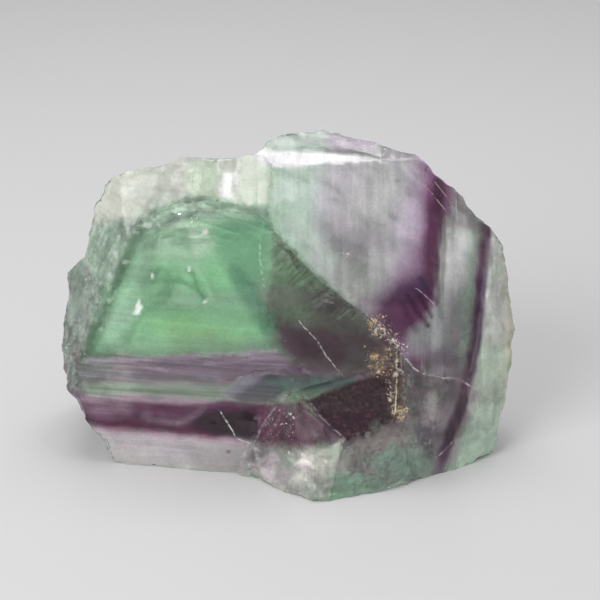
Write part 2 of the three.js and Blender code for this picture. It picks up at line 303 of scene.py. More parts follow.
# Each patch is laid over those before it. Clearness is how see-through it is, and haze its roughness.
# Each patch: name, colour, cover, softness (mm), clearness, haze, outline on the front plane (mm).
PATCHES = [
    ("right face", (205, 205, 208), 0.0, 1.0, 0.55, 0.3,
     [(-1.6, 31), (14, 31.5), (20, 27), (24, 22), (22, 5), (13, 9), (12.6, 9.9), (9.8, 12.9), (3.7, 17.9),
      (-1.3, 22.8)]),
    # Painted light: the top bevel is pale partly in its own whitish green and partly for the light that
    # falls on its upturned face from above.
    ("top bevel", (220, 222, 210), 0.95, 0.6, 0.25, 0.35,
     [(-20.5, 27.8), (-17.8, 31), (-13.4, 33), (-4, 33), (-1.6, 32), (-1.9, 26.2), (-5.7, 26.6),
      (-9.1, 27.2), (-11.6, 26.9), (-14.6, 25.7), (-17.4, 24), (-19.6, 25.2)]),
    ("bevel left grey", (196, 199, 187), 0.75, 1.2, 0.25, 0.35,
     [(-18.6, 29.6), (-14, 30), (-13.8, 25.8), (-17.6, 25)]),
    ("bevel green", (218, 238, 208), 0.75, 0.9, 0.15, 0.3,
     [(-10.6, 33), (-7.6, 33), (-8, 26.9), (-10.8, 27.2)]),
    ("bevel top shade", (186, 192, 184), 0.5, 0.6, 0.2, 0.3,
     [(-11.4, 32.6), (-5.2, 32.6), (-5, 30.5), (-11, 30.1)]),
    # Painted highlight: the pale right end of the top bevel is partly its own pale green and partly painted
    # glints, and the white streak in it is a painted glint.
    ("pale bevel end and painted highlight", (246, 255, 238), 0.9, 0.5, 0.3, 0.3,
     [(-5.1, 33), (-1.6, 33), (-2.2, 26.1), (-5.2, 26.5)]),
    ("bevel painted glint", (250, 251, 248), 1.0, 0.45, 0.05, 0.3,
     [(-7.1, 29.7), (-5.7, 29.9), (-6, 26.7), (-7.5, 27.2)]),
    ("shoulder", (255, 255, 242), 0.9, 0.9, 0.45, 0.4,
     [(-23.6, 25), (-22.5, 28.8), (-18.2, 32), (-16.6, 29), (-17.1, 26.2), (-19.6, 24.1), (-22.7, 22.4)]),
    ("left bevel", (194, 218, 198), 0.92, 0.9, 0.45, 0.3,
     [(-24.1, 24.2), (-19.6, 24.6), (-16.7, 24.3), (-18.3, 19.9), (-20, 16.8), (-21.6, 17.9),
      (-24.7, 19.8)]),
    ("left low", (166, 176, 168), 0.92, 0.9, 0.45, 0.3,
     [(-26.3, 18.7), (-23, 20), (-20.4, 17.3), (-21.3, 13.6), (-22.5, 10.6), (-23.6, 5), (-27.5, 6),
      (-26.7, 12.4)]),
    ("left low brown", (116, 104, 108), 0.55, 0.8, 0.45, 0.3,
     [(-25.2, 10.9), (-23.2, 10.7), (-22.6, 8), (-24, 6.4), (-25.4, 8)]),
    ("window", (156, 230, 172), 1, 0.35, 0.8, 0.3,
     [(-15.9, 24.2), (-17.8, 19.3), (-20.4, 13.8), (-22.5, 9.2), (-16.8, 9.2), (-9.2, 9.6), (-0.2, 9.9),
      (-2.1, 12), (-4.9, 16), (-7.6, 20.8), (-8.2, 24.1), (-9.7, 24.8), (-13.1, 23.7)]),
    # Painted light: a brighter green glow in the lower window stands in for light passing through the
    # stone.
    ("window painted glow", (152, 243, 170), 0.8, 2.5, 0.75, 0.3,
     [(-19.6, 14.3), (-21.7, 10.6), (-15.4, 10.1), (-6.3, 10.7), (-1.9, 11), (-5.2, 15.1), (-8.5, 16.8),
      (-15.2, 16.2)]),
    ("window yellow", (176, 240, 150), 0.5, 1.8, 0.7, 0.3,
     [(-15.3, 13.4), (-10.8, 14), (-6.3, 12.3), (-5.2, 11), (-13.1, 10.6)]),
    ("window top", (216, 238, 216), 0.85, 2.2, 0.65, 0.2,
     [(-15.9, 25.2), (-17.1, 21.2), (-14, 19.9), (-9.6, 19.9), (-8, 21.7), (-8.2, 25.1), (-13.1, 25.7)]),
    ("window left", (182, 224, 190), 0.8, 1.4, 0.45, 0.2,
     [(-15.9, 24.2), (-17.8, 19.3), (-20.4, 13.8), (-22, 10), (-18.7, 10.2), (-16.3, 13.6), (-15, 18.5),
      (-13.8, 23.5)]),
    ("window heart", (142, 218, 156), 0.12, 1.8, 0.8, 0.3,
     [(-14.5, 20.5), (-9.5, 20.5), (-6, 17), (-6, 14.5), (-14, 15.5), (-15.8, 17.5)]),
    ("window middle", (190, 240, 198), 0.42, 1.2, 0.7, 0.2,
     [(-14.6, 18.2), (-10.4, 18.2), (-10, 14.8), (-14.4, 14.8)]),
    ("window low left", (196, 232, 200), 0.2, 0.9, 0.6, 0.2,
     [(-17.6, 12), (-13, 12.2), (-12.4, 10), (-18.6, 10)]),
    ("window shoulder", (132, 182, 144), 0.1, 0.9, 0.7, 0.2,
     [(-16.2, 23.6), (-13.8, 23.8), (-13.6, 21), (-16.4, 20.8)]),
    ("star chip", (246, 252, 246), 1.0, 0.12, 0.0, 0.4,
     [(-17.2, 14.2), (-17, 15), (-16.6, 15.8), (-16.4, 15.1), (-16.1, 14.9), (-16.4, 14.5),
      (-16.7, 13.9)]),
    ("left stripe", (98, 150, 112), 0.78, 0.6, 0.7, 0.2,
     [(-16.5, 24.3), (-18.6, 19.3), (-21.3, 14), (-23, 10), (-24, 6), (-23.3, 5.7), (-22, 9.5),
      (-20.2, 13.8), (-17.5, 19.3), (-15.6, 23.9)]),
    ("scalloped ledge", (184, 210, 188), 0.95, 0.3, 0.6, 0.3,
     [(-17.4, 24), (-14.6, 25.7), (-11.6, 26.9), (-9.1, 27.2), (-5.7, 26.6), (-2.1, 26.1), (-1.3, 23.8),
      (-4.9, 24.7), (-8.2, 24.6), (-9.7, 25), (-13.1, 23.6), (-15.9, 23.8)]),
    # Painted shade: the dark slanting zone and the darker patches in it, down to foot green, stand in for
    # dark surroundings seen refracted through the back facets, over the stone's own greens and purples.
    ("dark diagonal", (162, 164, 152), 0.95, 0.3, 0.8, 0.12,
     [(-1.6, 23.2), (-0.9, 22.9), (3.4, 18.1), (6.8, 15.4), (9.8, 12.9), (12.6, 9.9), (12.7, 8.7),
      (10.4, 7.8), (5.9, 7.2), (1.5, 8.3), (-0.1, 10.1), (-2.6, 14.1), (-2, 16.8), (-1.8, 19.9)]),
    ("dark diagonal green", (88, 128, 90), 0.7, 1.4, 0.68, 0.1,
     [(-1.2, 20.6), (1.5, 19.2), (3.9, 16.2), (3.5, 13.7), (0.3, 12.9), (-2.1, 13.7), (-2.5, 16.8)]),
    ("dark diagonal foot", (64, 42, 52), 0.88, 2.0, 0.6, 0.1,
     [(-0.6, 11.6), (1.6, 13.2), (4.6, 15.6), (7.4, 14.6), (11, 11.4), (12.1, 9.4), (9.3, 7.6),
      (4.8, 7.4), (1, 8.8)]),
    ("dark diagonal low green", (70, 84, 72), 0.55, 1.0, 0.62, 0.1,
     [(-2.7, 15.2), (-0.4, 15), (1.6, 13.4), (1.6, 12), (0, 11.6), (-2, 12.8)]),
    ("green strip", (126, 188, 148), 0.95, 0.9, 0.8, 0.25,
     [(-8.2, 24.1), (-2.9, 25), (-1.6, 23.6), (-2, 22), (-3, 16.8), (-3.6, 14.3), (-0.9, 10.4),
      (-2.1, 12), (-4.9, 16), (-7.6, 20.8)]),
    ("strip foot", (66, 34, 56), 0.56, 0.9, 0.6, 0.15,
     [(-3, 13.8), (-1.4, 14.2), (1.2, 13.4), (2.6, 10.4), (0.8, 8.6), (-0.6, 9.6), (-2.2, 11.8)]),
    ("diagonal shade", (56, 56, 58), 0.4, 0.9, 0.62, 0.1,
     [(2.4, 17.8), (4.2, 17.2), (8.6, 13.6), (8, 11.8), (5.6, 12), (3, 15)]),
    ("diagonal deep shade", (52, 40, 48), 0.28, 1.6, 0.62, 0.1,
     [(-2.8, 13.4), (-0.4, 15.4), (4, 17), (8.8, 13.2), (11.2, 10.6), (9, 9), (2, 8.6), (-0.4, 10)]),
    ("foot green", (92, 110, 98), 0.55, 0.9, 0.62, 0.1, [(6.4, 10.4), (9.2, 10.6), (9.8, 8), (6.6, 7.8)]),
    ("fracture shade", (120, 162, 130), 0.6, 0.5, 0.7, 0.2,
     [(-14.2, 23.2), (-11, 23.4), (-10.2, 21.2), (-12.6, 21.6)]),
    ("fracture light", (214, 236, 212), 0.6, 0.4, 0.6, 0.2,
     [(-10.8, 22.8), (-8.6, 22.4), (-8.4, 20.8), (-10, 20.6)]),
    ("grey purple band", (160, 148, 162), 0.92, 0.6, 0.7, 0.25,
     [(-23.5, 7.9), (-22, 9.3), (-13.7, 9.1), (-7.2, 9.5), (-1.7, 10.2), (0.1, 9.3), (-0.2, 7.6),
      (-4.1, 7), (-8.1, 6.3), (-14.9, 6.2), (-23.5, 6.4)]),
    ("grey band left", (208, 210, 206), 0.8, 1.2, 0.7, 0.2,
     [(-24.1, 7.7), (-18.8, 9.8), (-17.1, 8), (-18, 6.2), (-23.5, 6.1)]),
    ("grey band foot", (118, 104, 112), 0.75, 0.4, 0.7, 0.2,
     [(-23.5, 6.8), (-17.7, 7.3), (-12, 7.1), (-5.8, 6.9), (-5.8, 6.3), (-12, 6.2), (-17.8, 6.1),
      (-23.5, 5.9)]),
    ("green band", (136, 160, 134), 0.9, 0.4, 0.75, 0.2,
     [(-23.8, 6.3), (-14.9, 6.2), (-8.1, 6.3), (-7.3, 5.4), (-8.1, 4.3), (-14.9, 4.5), (-22.7, 4.4)]),
    ("green band left", (186, 210, 184), 0.5, 0.8, 0.6, 0.2,
     [(-23.6, 6.2), (-17.2, 6.1), (-17.6, 4.6), (-23, 4.6)]),
    ("purple band", (100, 36, 80), 0.95, 0.4, 0.7, 0.25,
     [(-22.7, 4.3), (-14.9, 4.4), (-9.2, 4.2), (-7, 4.4), (-3.6, 4), (-2.1, 3.9), (-2.8, 0), (-4.4, -0.3),
      (-9.3, 0.2), (-15, 0.6), (-21.6, 1.2)]),
    ("purple band low edge", (84, 4, 54), 0.9, 0.6, 0.5, 0.15,
     [(-22, 2.4), (-15, 1.8), (-9.3, 1.4), (-4.2, 0.9), (-4.4, -0.3), (-9.3, 0.2), (-15, 0.6),
      (-21.6, 1.2)]),
    ("purple band dark end", (24, 0, 14), 0.97, 0.7, 0.15, 0.15,
     [(-11.3, 1.7), (-9.8, 2.8), (-7.3, 3.5), (-3.4, 3.6), (-2.8, 0.4), (-4.2, -0.2), (-7, 0.2),
      (-9.8, 1)]),
    ("pink edge", (206, 170, 192), 0.75, 0.35, 0.6, 0.2,
     [(-23.8, 4.7), (-16.6, 4.8), (-9.8, 4.8), (-8.1, 4.4), (-9.8, 4), (-16.7, 4.1), (-23.7, 3.9)]),
    ("purple band light middle", (134, 84, 120), 0.1, 0.8, 0.6, 0.25,
     [(-16.7, 3.8), (-9.8, 4.1), (-11.2, 2.5), (-13, 1.6), (-15.8, 2.3)]),
    ("purple band left", (190, 158, 178), 0.4, 0.8, 0.5, 0.25,
     [(-22.6, 4.4), (-17.6, 4.4), (-18, 2.6), (-22.2, 2.6)]),
    ("pale rim", (222, 212, 218), 0.95, 0.6, 0.45, 0.3,
     [(-22.6, 1.1), (-15, 0.5), (-9.3, 0.1), (-4.7, -0.4), (-5.1, -4.6), (-13.9, -5), (-22.2, -4.2)]),
    ("pale rim green", (216, 222, 206), 0.7, 0.8, 0.45, 0.3,
     [(-21.5, -2.6), (-14, -3.4), (-6, -3.2), (-5.5, -5.5), (-14, -6), (-22, -5)]),
    ("rim right shade", (176, 162, 168), 0.65, 1.0, 0.45, 0.3,
     [(-11.4, -0.6), (-4.6, -0.8), (-4.9, -4), (-10.4, -3.6)]),
    ("rim glow", (236, 240, 226), 0.3, 0.9, 0.4, 0.3,
     [(-20.5, -1), (-15, -1.2), (-14, -2.4), (-19.5, -2.6)]),
    ("rim edge", (120, 124, 116), 0.7, 0.3, 0.5, 0.3,
     [(-22.8, 1.2), (-21.2, -0.2), (-20.2, -2.8), (-21, -3), (-22.6, -0.6), (-23.4, 0.8)]),
    ("leaf", (72, 68, 80), 0.9, 0.25, 0.5, 0.3,
     [(-7.3, 5.2), (-5, 6.7), (-1.3, 7.6), (0.1, 5.6), (-2.1, 4.3), (-5, 4)]),
    ("leaf light", (150, 146, 160), 0.65, 0.45, 0.45, 0.3,
     [(-7.5, 5.2), (-6.2, 6.3), (-3.2, 7.4), (-2.6, 6.9), (-5, 5.4), (-6.8, 4.5)]),
    ("teal sliver", (70, 104, 92), 0.85, 0.35, 0.6, 0.2,
     [(-2.8, 6.7), (0.3, 7.6), (7.4, 7), (8.1, 6.3), (3.7, 5.7), (0.3, 5.4)]),
    ("pane", (48, 24, 34), 0.97, 0.3, 0.12, 0.15,
     [(1.5, 4.8), (2.6, 4.9), (9.3, 7.2), (12.9, 9), (13, 3.1), (11.7, 1.9), (10.6, 1), (8.4, 0.4),
      (6.4, -0.1), (4, 2.6)]),
    ("stain haze", (132, 106, 84), 0.4, 0.6, 0.3, 0.3,
     [(8.8, 14), (11.3, 13.8), (12, 11), (12.7, 8), (13.3, 3), (11.6, 2.4), (11.4, 7), (9.2, 7.4),
      (9.2, 9.8), (10.4, 10.6)]),
    ("toe purple", (78, 38, 58), 0.97, 0.6, 0.2, 0.5,
     [(-2.1, 4.1), (1.5, 4.8), (3.7, 2.6), (4.8, 0.3), (1.5, -1), (-1, -1), (-3.4, -0.4)]),
    ("toe purple light", (156, 128, 142), 0.35, 0.7, 0.2, 0.5,
     [(1.4, 1.8), (3.4, 1.8), (4.2, 0.2), (1.4, -0.4)]),
    ("toe pale", (170, 170, 162), 0.9, 0.8, 0.35, 0.3,
     [(-4.2, -0.6), (-1.9, -0.7), (3.7, -0.6), (6.2, 0.2), (5.2, -2.8), (4.5, -7.2), (1.5, -7.1),
      (-1.8, -5.7), (-5.3, -4.3)]),
    # Painted highlight: the pale patch on the toe's broken facets is a glint of light, painted in.
    ("toe painted highlight", (228, 226, 214), 0.75, 0.7, 0.25, 0.35,
     [(1.2, -0.9), (5.4, -0.4), (4.8, -3.4), (0.9, -4.4)]),
    ("toe left shade", (112, 102, 108), 0.8, 0.5, 0.45, 0.3,
     [(-4.6, -2.4), (-3.7, 0.2), (-2.6, -0.2), (-1.6, -1.3), (-2.8, -2.9)]),
    ("toe left pale", (216, 200, 208), 0.85, 0.5, 0.4, 0.3,
     [(-4.4, -3.2), (-1.6, -1.2), (0.6, -2.9), (0.1, -4.9), (-2.1, -4.4)]),
    ("toe fold facet", (236, 236, 224), 0.8, 0.25, 0.3, 0.3,
     [(5.3, -0.2), (6.2, 0.2), (5.5, -2.4), (4.9, -4.6), (4.4, -4.2), (4.8, -1.8)]),
    ("toe low light", (198, 208, 196), 0.4, 0.7, 0.35, 0.3,
     [(1.4, -3.8), (4.4, -3.8), (4.4, -6.2), (1.8, -6.2)]),
    ("toe right", (184, 178, 172), 0.85, 0.6, 0.35, 0.3,
     [(6.3, -0.5), (8.4, -0.1), (11, 0.6), (12.8, 1.9), (13.1, 0.1), (10.9, -2), (8.2, -3), (5.2, -3.2)]),
    ("toe green", (146, 184, 156), 0.85, 0.6, 0.5, 0.3,
     [(4.8, -3.5), (8.1, -3.1), (12, -3.2), (12.4, -5.2), (8, -6.9), (4.4, -7.4)]),
    ("toe green left", (108, 146, 122), 0.4, 0.7, 0.5, 0.3,
     [(5.4, -3.8), (8.4, -3.9), (8.2, -5.8), (5.2, -6)]),
    ("toe lilac", (160, 150, 160), 0.75, 0.7, 0.7, 0.3,
     [(10.9, -2.3), (13.8, -2.2), (14.1, -5.4), (10.9, -6.4)]),
    ("lower right", (150, 142, 142), 0.88, 0.9, 0.5, 0.3,
     [(13, 7.3), (20.6, 7.3), (19.8, 1.5), (18.1, -4.3), (12.6, -4.9), (7, -3.1), (6.8, -0.6),
      (10.8, 0.8), (12, 2), (13.2, 3)]),
    ("lower right pale", (206, 208, 202), 0.7, 0.6, 0.4, 0.3,
     [(15.2, 5.4), (16.8, 5), (16.4, 3), (15, 3.4)]),
    ("lower right brown", (122, 92, 98), 0.3, 1.0, 0.6, 0.3,
     [(8, 0.4), (12.4, 3), (13.4, 1.5), (11, -1.2), (8.2, -1.4)]),
    ("lower right shade", (84, 84, 92), 0.8, 0.5, 0.55, 0.3,
     [(14.6, 0), (17.2, 0.5), (18, -1.9), (15.5, -2.5)]),
    ("lower right green", (140, 186, 162), 0.6, 0.8, 0.5, 0.3,
     [(10, -1.2), (12.4, -0.6), (15, -1.4), (16.6, -3.4), (12.6, -4.6), (9.8, -3)]),
    ("lower right dark", (88, 72, 78), 0.75, 0.7, 0.6, 0.3,
     [(13.1, 9), (15.3, 7.7), (17.1, 4.5), (14.8, 2.3), (12.9, 3.5)]),
    ("lower right plum", (96, 70, 92), 0.45, 0.9, 0.5, 0.3,
     [(14.4, 2.4), (16.4, 2), (18.6, -0.4), (18.2, -3.6), (15.8, -3.6), (15.4, -0.6)]),
    ("lower right buff", (176, 160, 152), 0.4, 0.6, 0.4, 0.3,
     [(7.6, -0.6), (11.2, 0.6), (13, 0.6), (12.6, -0.6), (9, -1.6)]),
    ("lower right chips", (214, 202, 204), 0.45, 0.4, 0.35, 0.3,
     [(15.6, 5.6), (16.8, 5.2), (16.6, 3.6), (15.4, 3.4)]),
    ("lower right moss", (92, 116, 98), 0.4, 0.7, 0.5, 0.3,
     [(14.2, 7), (17, 6.8), (16.8, 5.6), (14.4, 4.8)]),
    ("band left shade", (66, 62, 72), 0.55, 0.8, 0.5, 0.3,
     [(16.8, 6.4), (19.2, 7.2), (19.4, 4.4), (17.8, 3), (16.6, 4)]),
    # Painted light and shade: the three right facets are lighter or darker for how each broken facet
    # catches the light.
    ("right facet 1", (196, 194, 188), 0.2, 0.4, 0.35, 0.3,
     [(14.4, 3), (17.1, 3.5), (17.5, 2.2), (15.2, 1.6)]),
    ("right facet 2", (176, 172, 166), 0.2, 0.4, 0.35, 0.3,
     [(6.8, -0.5), (10.4, 0.5), (11.4, -0.5), (8.4, -1.6)]),
    ("right facet 3", (92, 92, 104), 0.45, 0.5, 0.4, 0.3,
     [(14.2, 2), (16.4, 1.4), (15.8, -0.4), (14, -0.2)]),
    ("pane shadow", (84, 94, 88), 0.6, 0.4, 0.4, 0.3,
     [(13, 9.2), (14.3, 8.4), (14.7, 5), (14.2, 2.6), (13.1, 3.2)]),
    ("low rim", (226, 255, 228), 0.9, 0.7, 0.5, 0.3,
     [(19.8, 0.9), (21.9, 4.3), (25.9, 4.8), (25.5, 0.3), (22.8, -3.5), (19.1, -4.4)]),
    ("outer rim", (252, 255, 246), 0.9, 0.5, 0.4, 0.3,
     [(22.9, 24.5), (25.5, 22), (28, 16), (28, 4), (22.2, 5), (22.2, 10), (22.5, 15.2), (22.9, 19.7)]),
    ("rim middle", (196, 230, 196), 0.6, 1.0, 0.5, 0.3,
     [(22.2, 10.8), (25.4, 11), (25.8, 3.4), (21.6, 3.6)]),
    ("rim inner shade", (120, 128, 120), 0.45, 0.6, 0.5, 0.3,
     [(20.6, 8.4), (22.2, 9), (21.8, 5.6), (20.2, 5)]),
    ("rim inner light", (255, 252, 244), 0.5, 0.6, 0.4, 0.3,
     [(22.6, 18.6), (24.2, 18.6), (24, 14.4), (22.5, 14.4)]),
    ("rim low light", (216, 232, 208), 0.4, 0.8, 0.4, 0.3,
     [(22, 6.4), (24.6, 6.4), (24.4, 3.4), (21.8, 3.4)]),
    ("rim outside", (240, 228, 200), 0.55, 0.6, 0.4, 0.3,
     [(24.1, 21), (26.4, 18), (26.8, 2), (24.8, -1), (24.6, 6), (24.6, 15)]),
    ("upper right grey", (140, 128, 136), 0.78, 0.7, 0.5, 0.25,
     [(17.7, 29), (20, 27), (22.9, 23.9), (21.4, 22.9), (17.9, 23.9), (17.4, 26.7)]),
    ("face cloud", (156, 148, 158), 0.65, 1.8, 0.6, 0.25,
     [(6, 24.3), (11.2, 24.3), (11.7, 21.2), (7, 19.8), (4.5, 22)]),
    ("face lilac", (164, 142, 156), 0.5, 1.5, 0.6, 0.25,
     [(5, 21.4), (8.4, 21.4), (9, 17.2), (6.6, 16.6)]),
    ("lower face shade", (108, 100, 108), 0.85, 1.3, 0.5, 0.25,
     [(17, 15.5), (18, 19.2), (19.8, 18.4), (20.4, 14), (20.8, 6.7), (14.8, 8.1), (16.2, 10.7)]),
    ("face glow", (240, 226, 246), 0.8, 1.2, 0.45, 0.25,
     [(12.7, 26.2), (14.3, 26.8), (14.6, 25.1), (14.4, 22.3), (13.3, 22.6), (12.2, 24.3)]),
    ("corner light", (250, 255, 252), 0.4, 0.7, 0.4, 0.25,
     [(-1.2, 29.2), (0.8, 29.2), (0.9, 26.6), (-1.4, 26.4)]),
    ("pale corner", (232, 240, 234), 0.7, 0.8, 0.5, 0.25,
     [(0.7, 24.4), (2.1, 23.7), (5.2, 20.4), (5, 19), (2.1, 21.6), (0.1, 23.3)]),
    ("blob halo", (156, 108, 150), 0.6, 1.8, 0.6, 0.25,
     [(8.5, 15.8), (12, 18.6), (15, 19.4), (16.6, 17), (16, 12.5), (13, 11), (10, 12)]),
    ("purple blob", (80, 22, 68), 0.93, 1.2, 0.4, 0.2,
     [(14.9, 18.3), (12.3, 17.6), (10.1, 15.8), (9.5, 13.9), (10.5, 12), (11.8, 10.5), (12.9, 10.5),
      (13.9, 11.8), (14.9, 13.3), (16.2, 14.8), (16.6, 17)]),
    ("dark band top", (160, 106, 146), 0.8, 0.7, 0.7, 0.2,
     [(14, 31.9), (15.4, 31.1), (17.9, 28), (17.9, 25.5), (16.7, 25.1), (16, 27.9)]),
    ("dark band", (112, 56, 94), 0.88, 0.6, 0.75, 0.2,
     [(16, 29.1), (17.6, 28.9), (17.2, 25.1), (16.7, 20.1), (16.1, 16.8), (15.2, 17), (15.3, 22.3)]),
    ("below blob", (162, 162, 166), 0.9, 0.7, 0.5, 0.2,
     [(13.4, 11.9), (15, 13.4), (16.2, 15.4), (17.4, 15.8), (17.2, 11.9), (15.8, 9.4), (13.2, 9.6)]),
    ("green stripe", (164, 196, 170), 0.6, 0.9, 0.7, 0.2,
     [(19.5, 19.9), (20.9, 19.9), (21, 7.8), (19.6, 7.8)]),
    ("pale stripe", (244, 238, 244), 0.7, 1.7, 0.5, 0.25,
     [(18, 23), (20.2, 22.6), (20.4, 18), (18.7, 16.4), (17.9, 20.2)]),
    ("stripe shade", (92, 84, 94), 0.4, 0.8, 0.5, 0.25,
     [(17.8, 16.8), (19.2, 16.8), (19.4, 13.2), (18, 13)]),
    ("face foot shade", (84, 76, 88), 0.4, 0.8, 0.5, 0.25,
     [(16.2, 9.4), (19.4, 11.4), (19.6, 7.6), (15.8, 7.4)]),
    ("stripe light", (255, 250, 255), 0.3, 0.7, 0.4, 0.25,
     [(17.8, 22.4), (19.4, 22.4), (19.4, 20.2), (17.8, 20.2)]),
    # Painted highlight: the white strip along the top facet is the reflection of the overhead light,
    # painted in.
    ("painted highlight strip", (236, 234, 236), 1, 0.35, 0.1, 0.3,
     [(-3.4, 32.2), (0.3, 32.4), (4.2, 32.1), (8.1, 31.6), (11.3, 31.05), (7, 30.8), (3.7, 30.6),
      (0.3, 30.2), (-2.8, 30.5), (-4.1, 31.2)]),
    ("crest left", (186, 194, 188), 0.8, 0.5, 0.25, 0.3,
     [(-3.5, 32.4), (-1.3, 33.7), (1.5, 34.6), (5.3, 34.6), (5.7, 33), (0.3, 32.8)]),
    ("crest lilac", (186, 166, 188), 0.85, 0.8, 0.3, 0.3,
     [(4.6, 34.6), (9.4, 34), (10.4, 32.6), (5.2, 32.6)]),
    ("crest right", (204, 198, 206), 0.7, 0.7, 0.6, 0.3,
     [(9.8, 34), (13, 33.2), (16.9, 31.8), (15.8, 30.9), (10.9, 32)]),
]

PALE = (214, 212, 208)
# Painted shade on the sides of the small peaks in the window.
PEAK_SHADE = (70, 122, 84)
HATCH = (42, 12, 38)
# Painted shade under the overhang of the top bevel, for the ledge's dark arcs and strokes.
LEDGE_SHADE = (84, 112, 92)
FEATHER = (44, 50, 42)
FEATHER_LIGHT = (150, 172, 146)
# Each crisp line: name, colour, cover, half width (mm), path on the front plane (mm).
MARKS = [
    ("bevel line", (142, 160, 142), 0.4, 0.08, [(-1.4, 31.6), (-1.5, 28.9), (-2.1, 26)]),
    ("bevel bar 1", (156, 190, 146), 0.6, 0.12, [(-10.4, 29.9), (-10.5, 28.3)]),
    ("bevel bar 2", (156, 190, 146), 0.5, 0.12, [(-9.3, 30.1), (-9.5, 28.3)]),
    ("window line", (182, 216, 178), 0.65, 0.16, [(-3.1, 22.6), (-3, 20), (-2.7, 17.3)]),
    ("diagonal crack", PALE, 0.75, 0.1,
     [(1.5, 13.2), (2.2, 12.4), (3.3, 11.2), (4.4, 9.4), (5.6, 8.1), (6.1, 7.4)]),
    ("right crack", PALE, 0.8, 0.11,
     [(13.3, 9), (14, 8.1), (14.8, 7.7), (16.4, 7.2), (18.2, 7), (19.6, 6.7), (21.4, 5.5), (23.4, 4.4)]),
    ("dotted crack", PALE, 0.85, 0.1, [(-7.5, 3.1), (-6.5, 1.7), (-5.7, 0.2), (-4.4, -0.4)]),
    ("light hatch", (190, 160, 190), 0.7, 0.09, [(14.5, 16.9), (16.3, 15.1)]),
    ("tail line", PALE, 0.7, 0.09, [(16.9, -2.1), (17.9, -1.3), (18.6, -0.5)]),
    ("slanted light line", PALE, 0.5, 0.09, [(15.1, 28.8), (17.6, 25.7)]),
    ("slanted light line 2", PALE, 0.35, 0.09, [(16.4, 28.9), (18.2, 26.6)]),
    ("upright light line", PALE, 0.55, 0.11, [(18.8, 27.8), (19, 24.8)]),
    ("toe crease", (166, 152, 162), 0.6, 0.16, [(-1.3, 3.7), (-2.8, 1.7), (-3.9, -0.9), (-5.1, -2.7)]),
    ("toe ridge", (170, 156, 164), 0.55, 0.1, [(2, 5.1), (4, 2.6), (6.4, 0.5)]),
    ("toe fold", (196, 194, 194), 0.5, 0.1, [(6.3, 0.3), (5.5, -2.2), (4.9, -4.3)]),
    ("stain line", (232, 222, 190), 0.9, 0.09, [(12.2, 10.7), (12.3, 7.3), (11.9, 3.1)]),
    # Painted shade: the first two ledge arcs darken the rough band under the top bevel's overhang.
    ("ledge arc 1", LEDGE_SHADE, 0.4, 0.12,
     [(-16.2, 23.9), (-14.2, 25.4), (-11.8, 26), (-9.1, 26.3), (-6, 25.3), (-3.2, 25.2)]),
    ("ledge arc 2", LEDGE_SHADE, 0.4, 0.13, [(-14, 23.8), (-12.2, 24.7), (-10.6, 25), (-9, 24.2)]),
    ("ledge arc 3", (196, 212, 196), 0.6, 0.12,
     [(-15.1, 24.5), (-12.9, 25.5), (-10.8, 25.6), (-8.4, 25.6)]),
    ("leaf rim", (150, 146, 156), 0.5, 0.09, [(-7.3, 5.2), (-5, 6.7), (-1.3, 7.6)]),
    ("rim outline", (110, 116, 108), 0.6, 0.12, [(-22.2, 0.8), (-20.6, -0.3), (-19.9, -2.6)]),
]
# How far from its path a line's colour is stored (mm), and the most half widths that are stored.
MARK_REACH = 0.45
MARK_FAR = 9.0
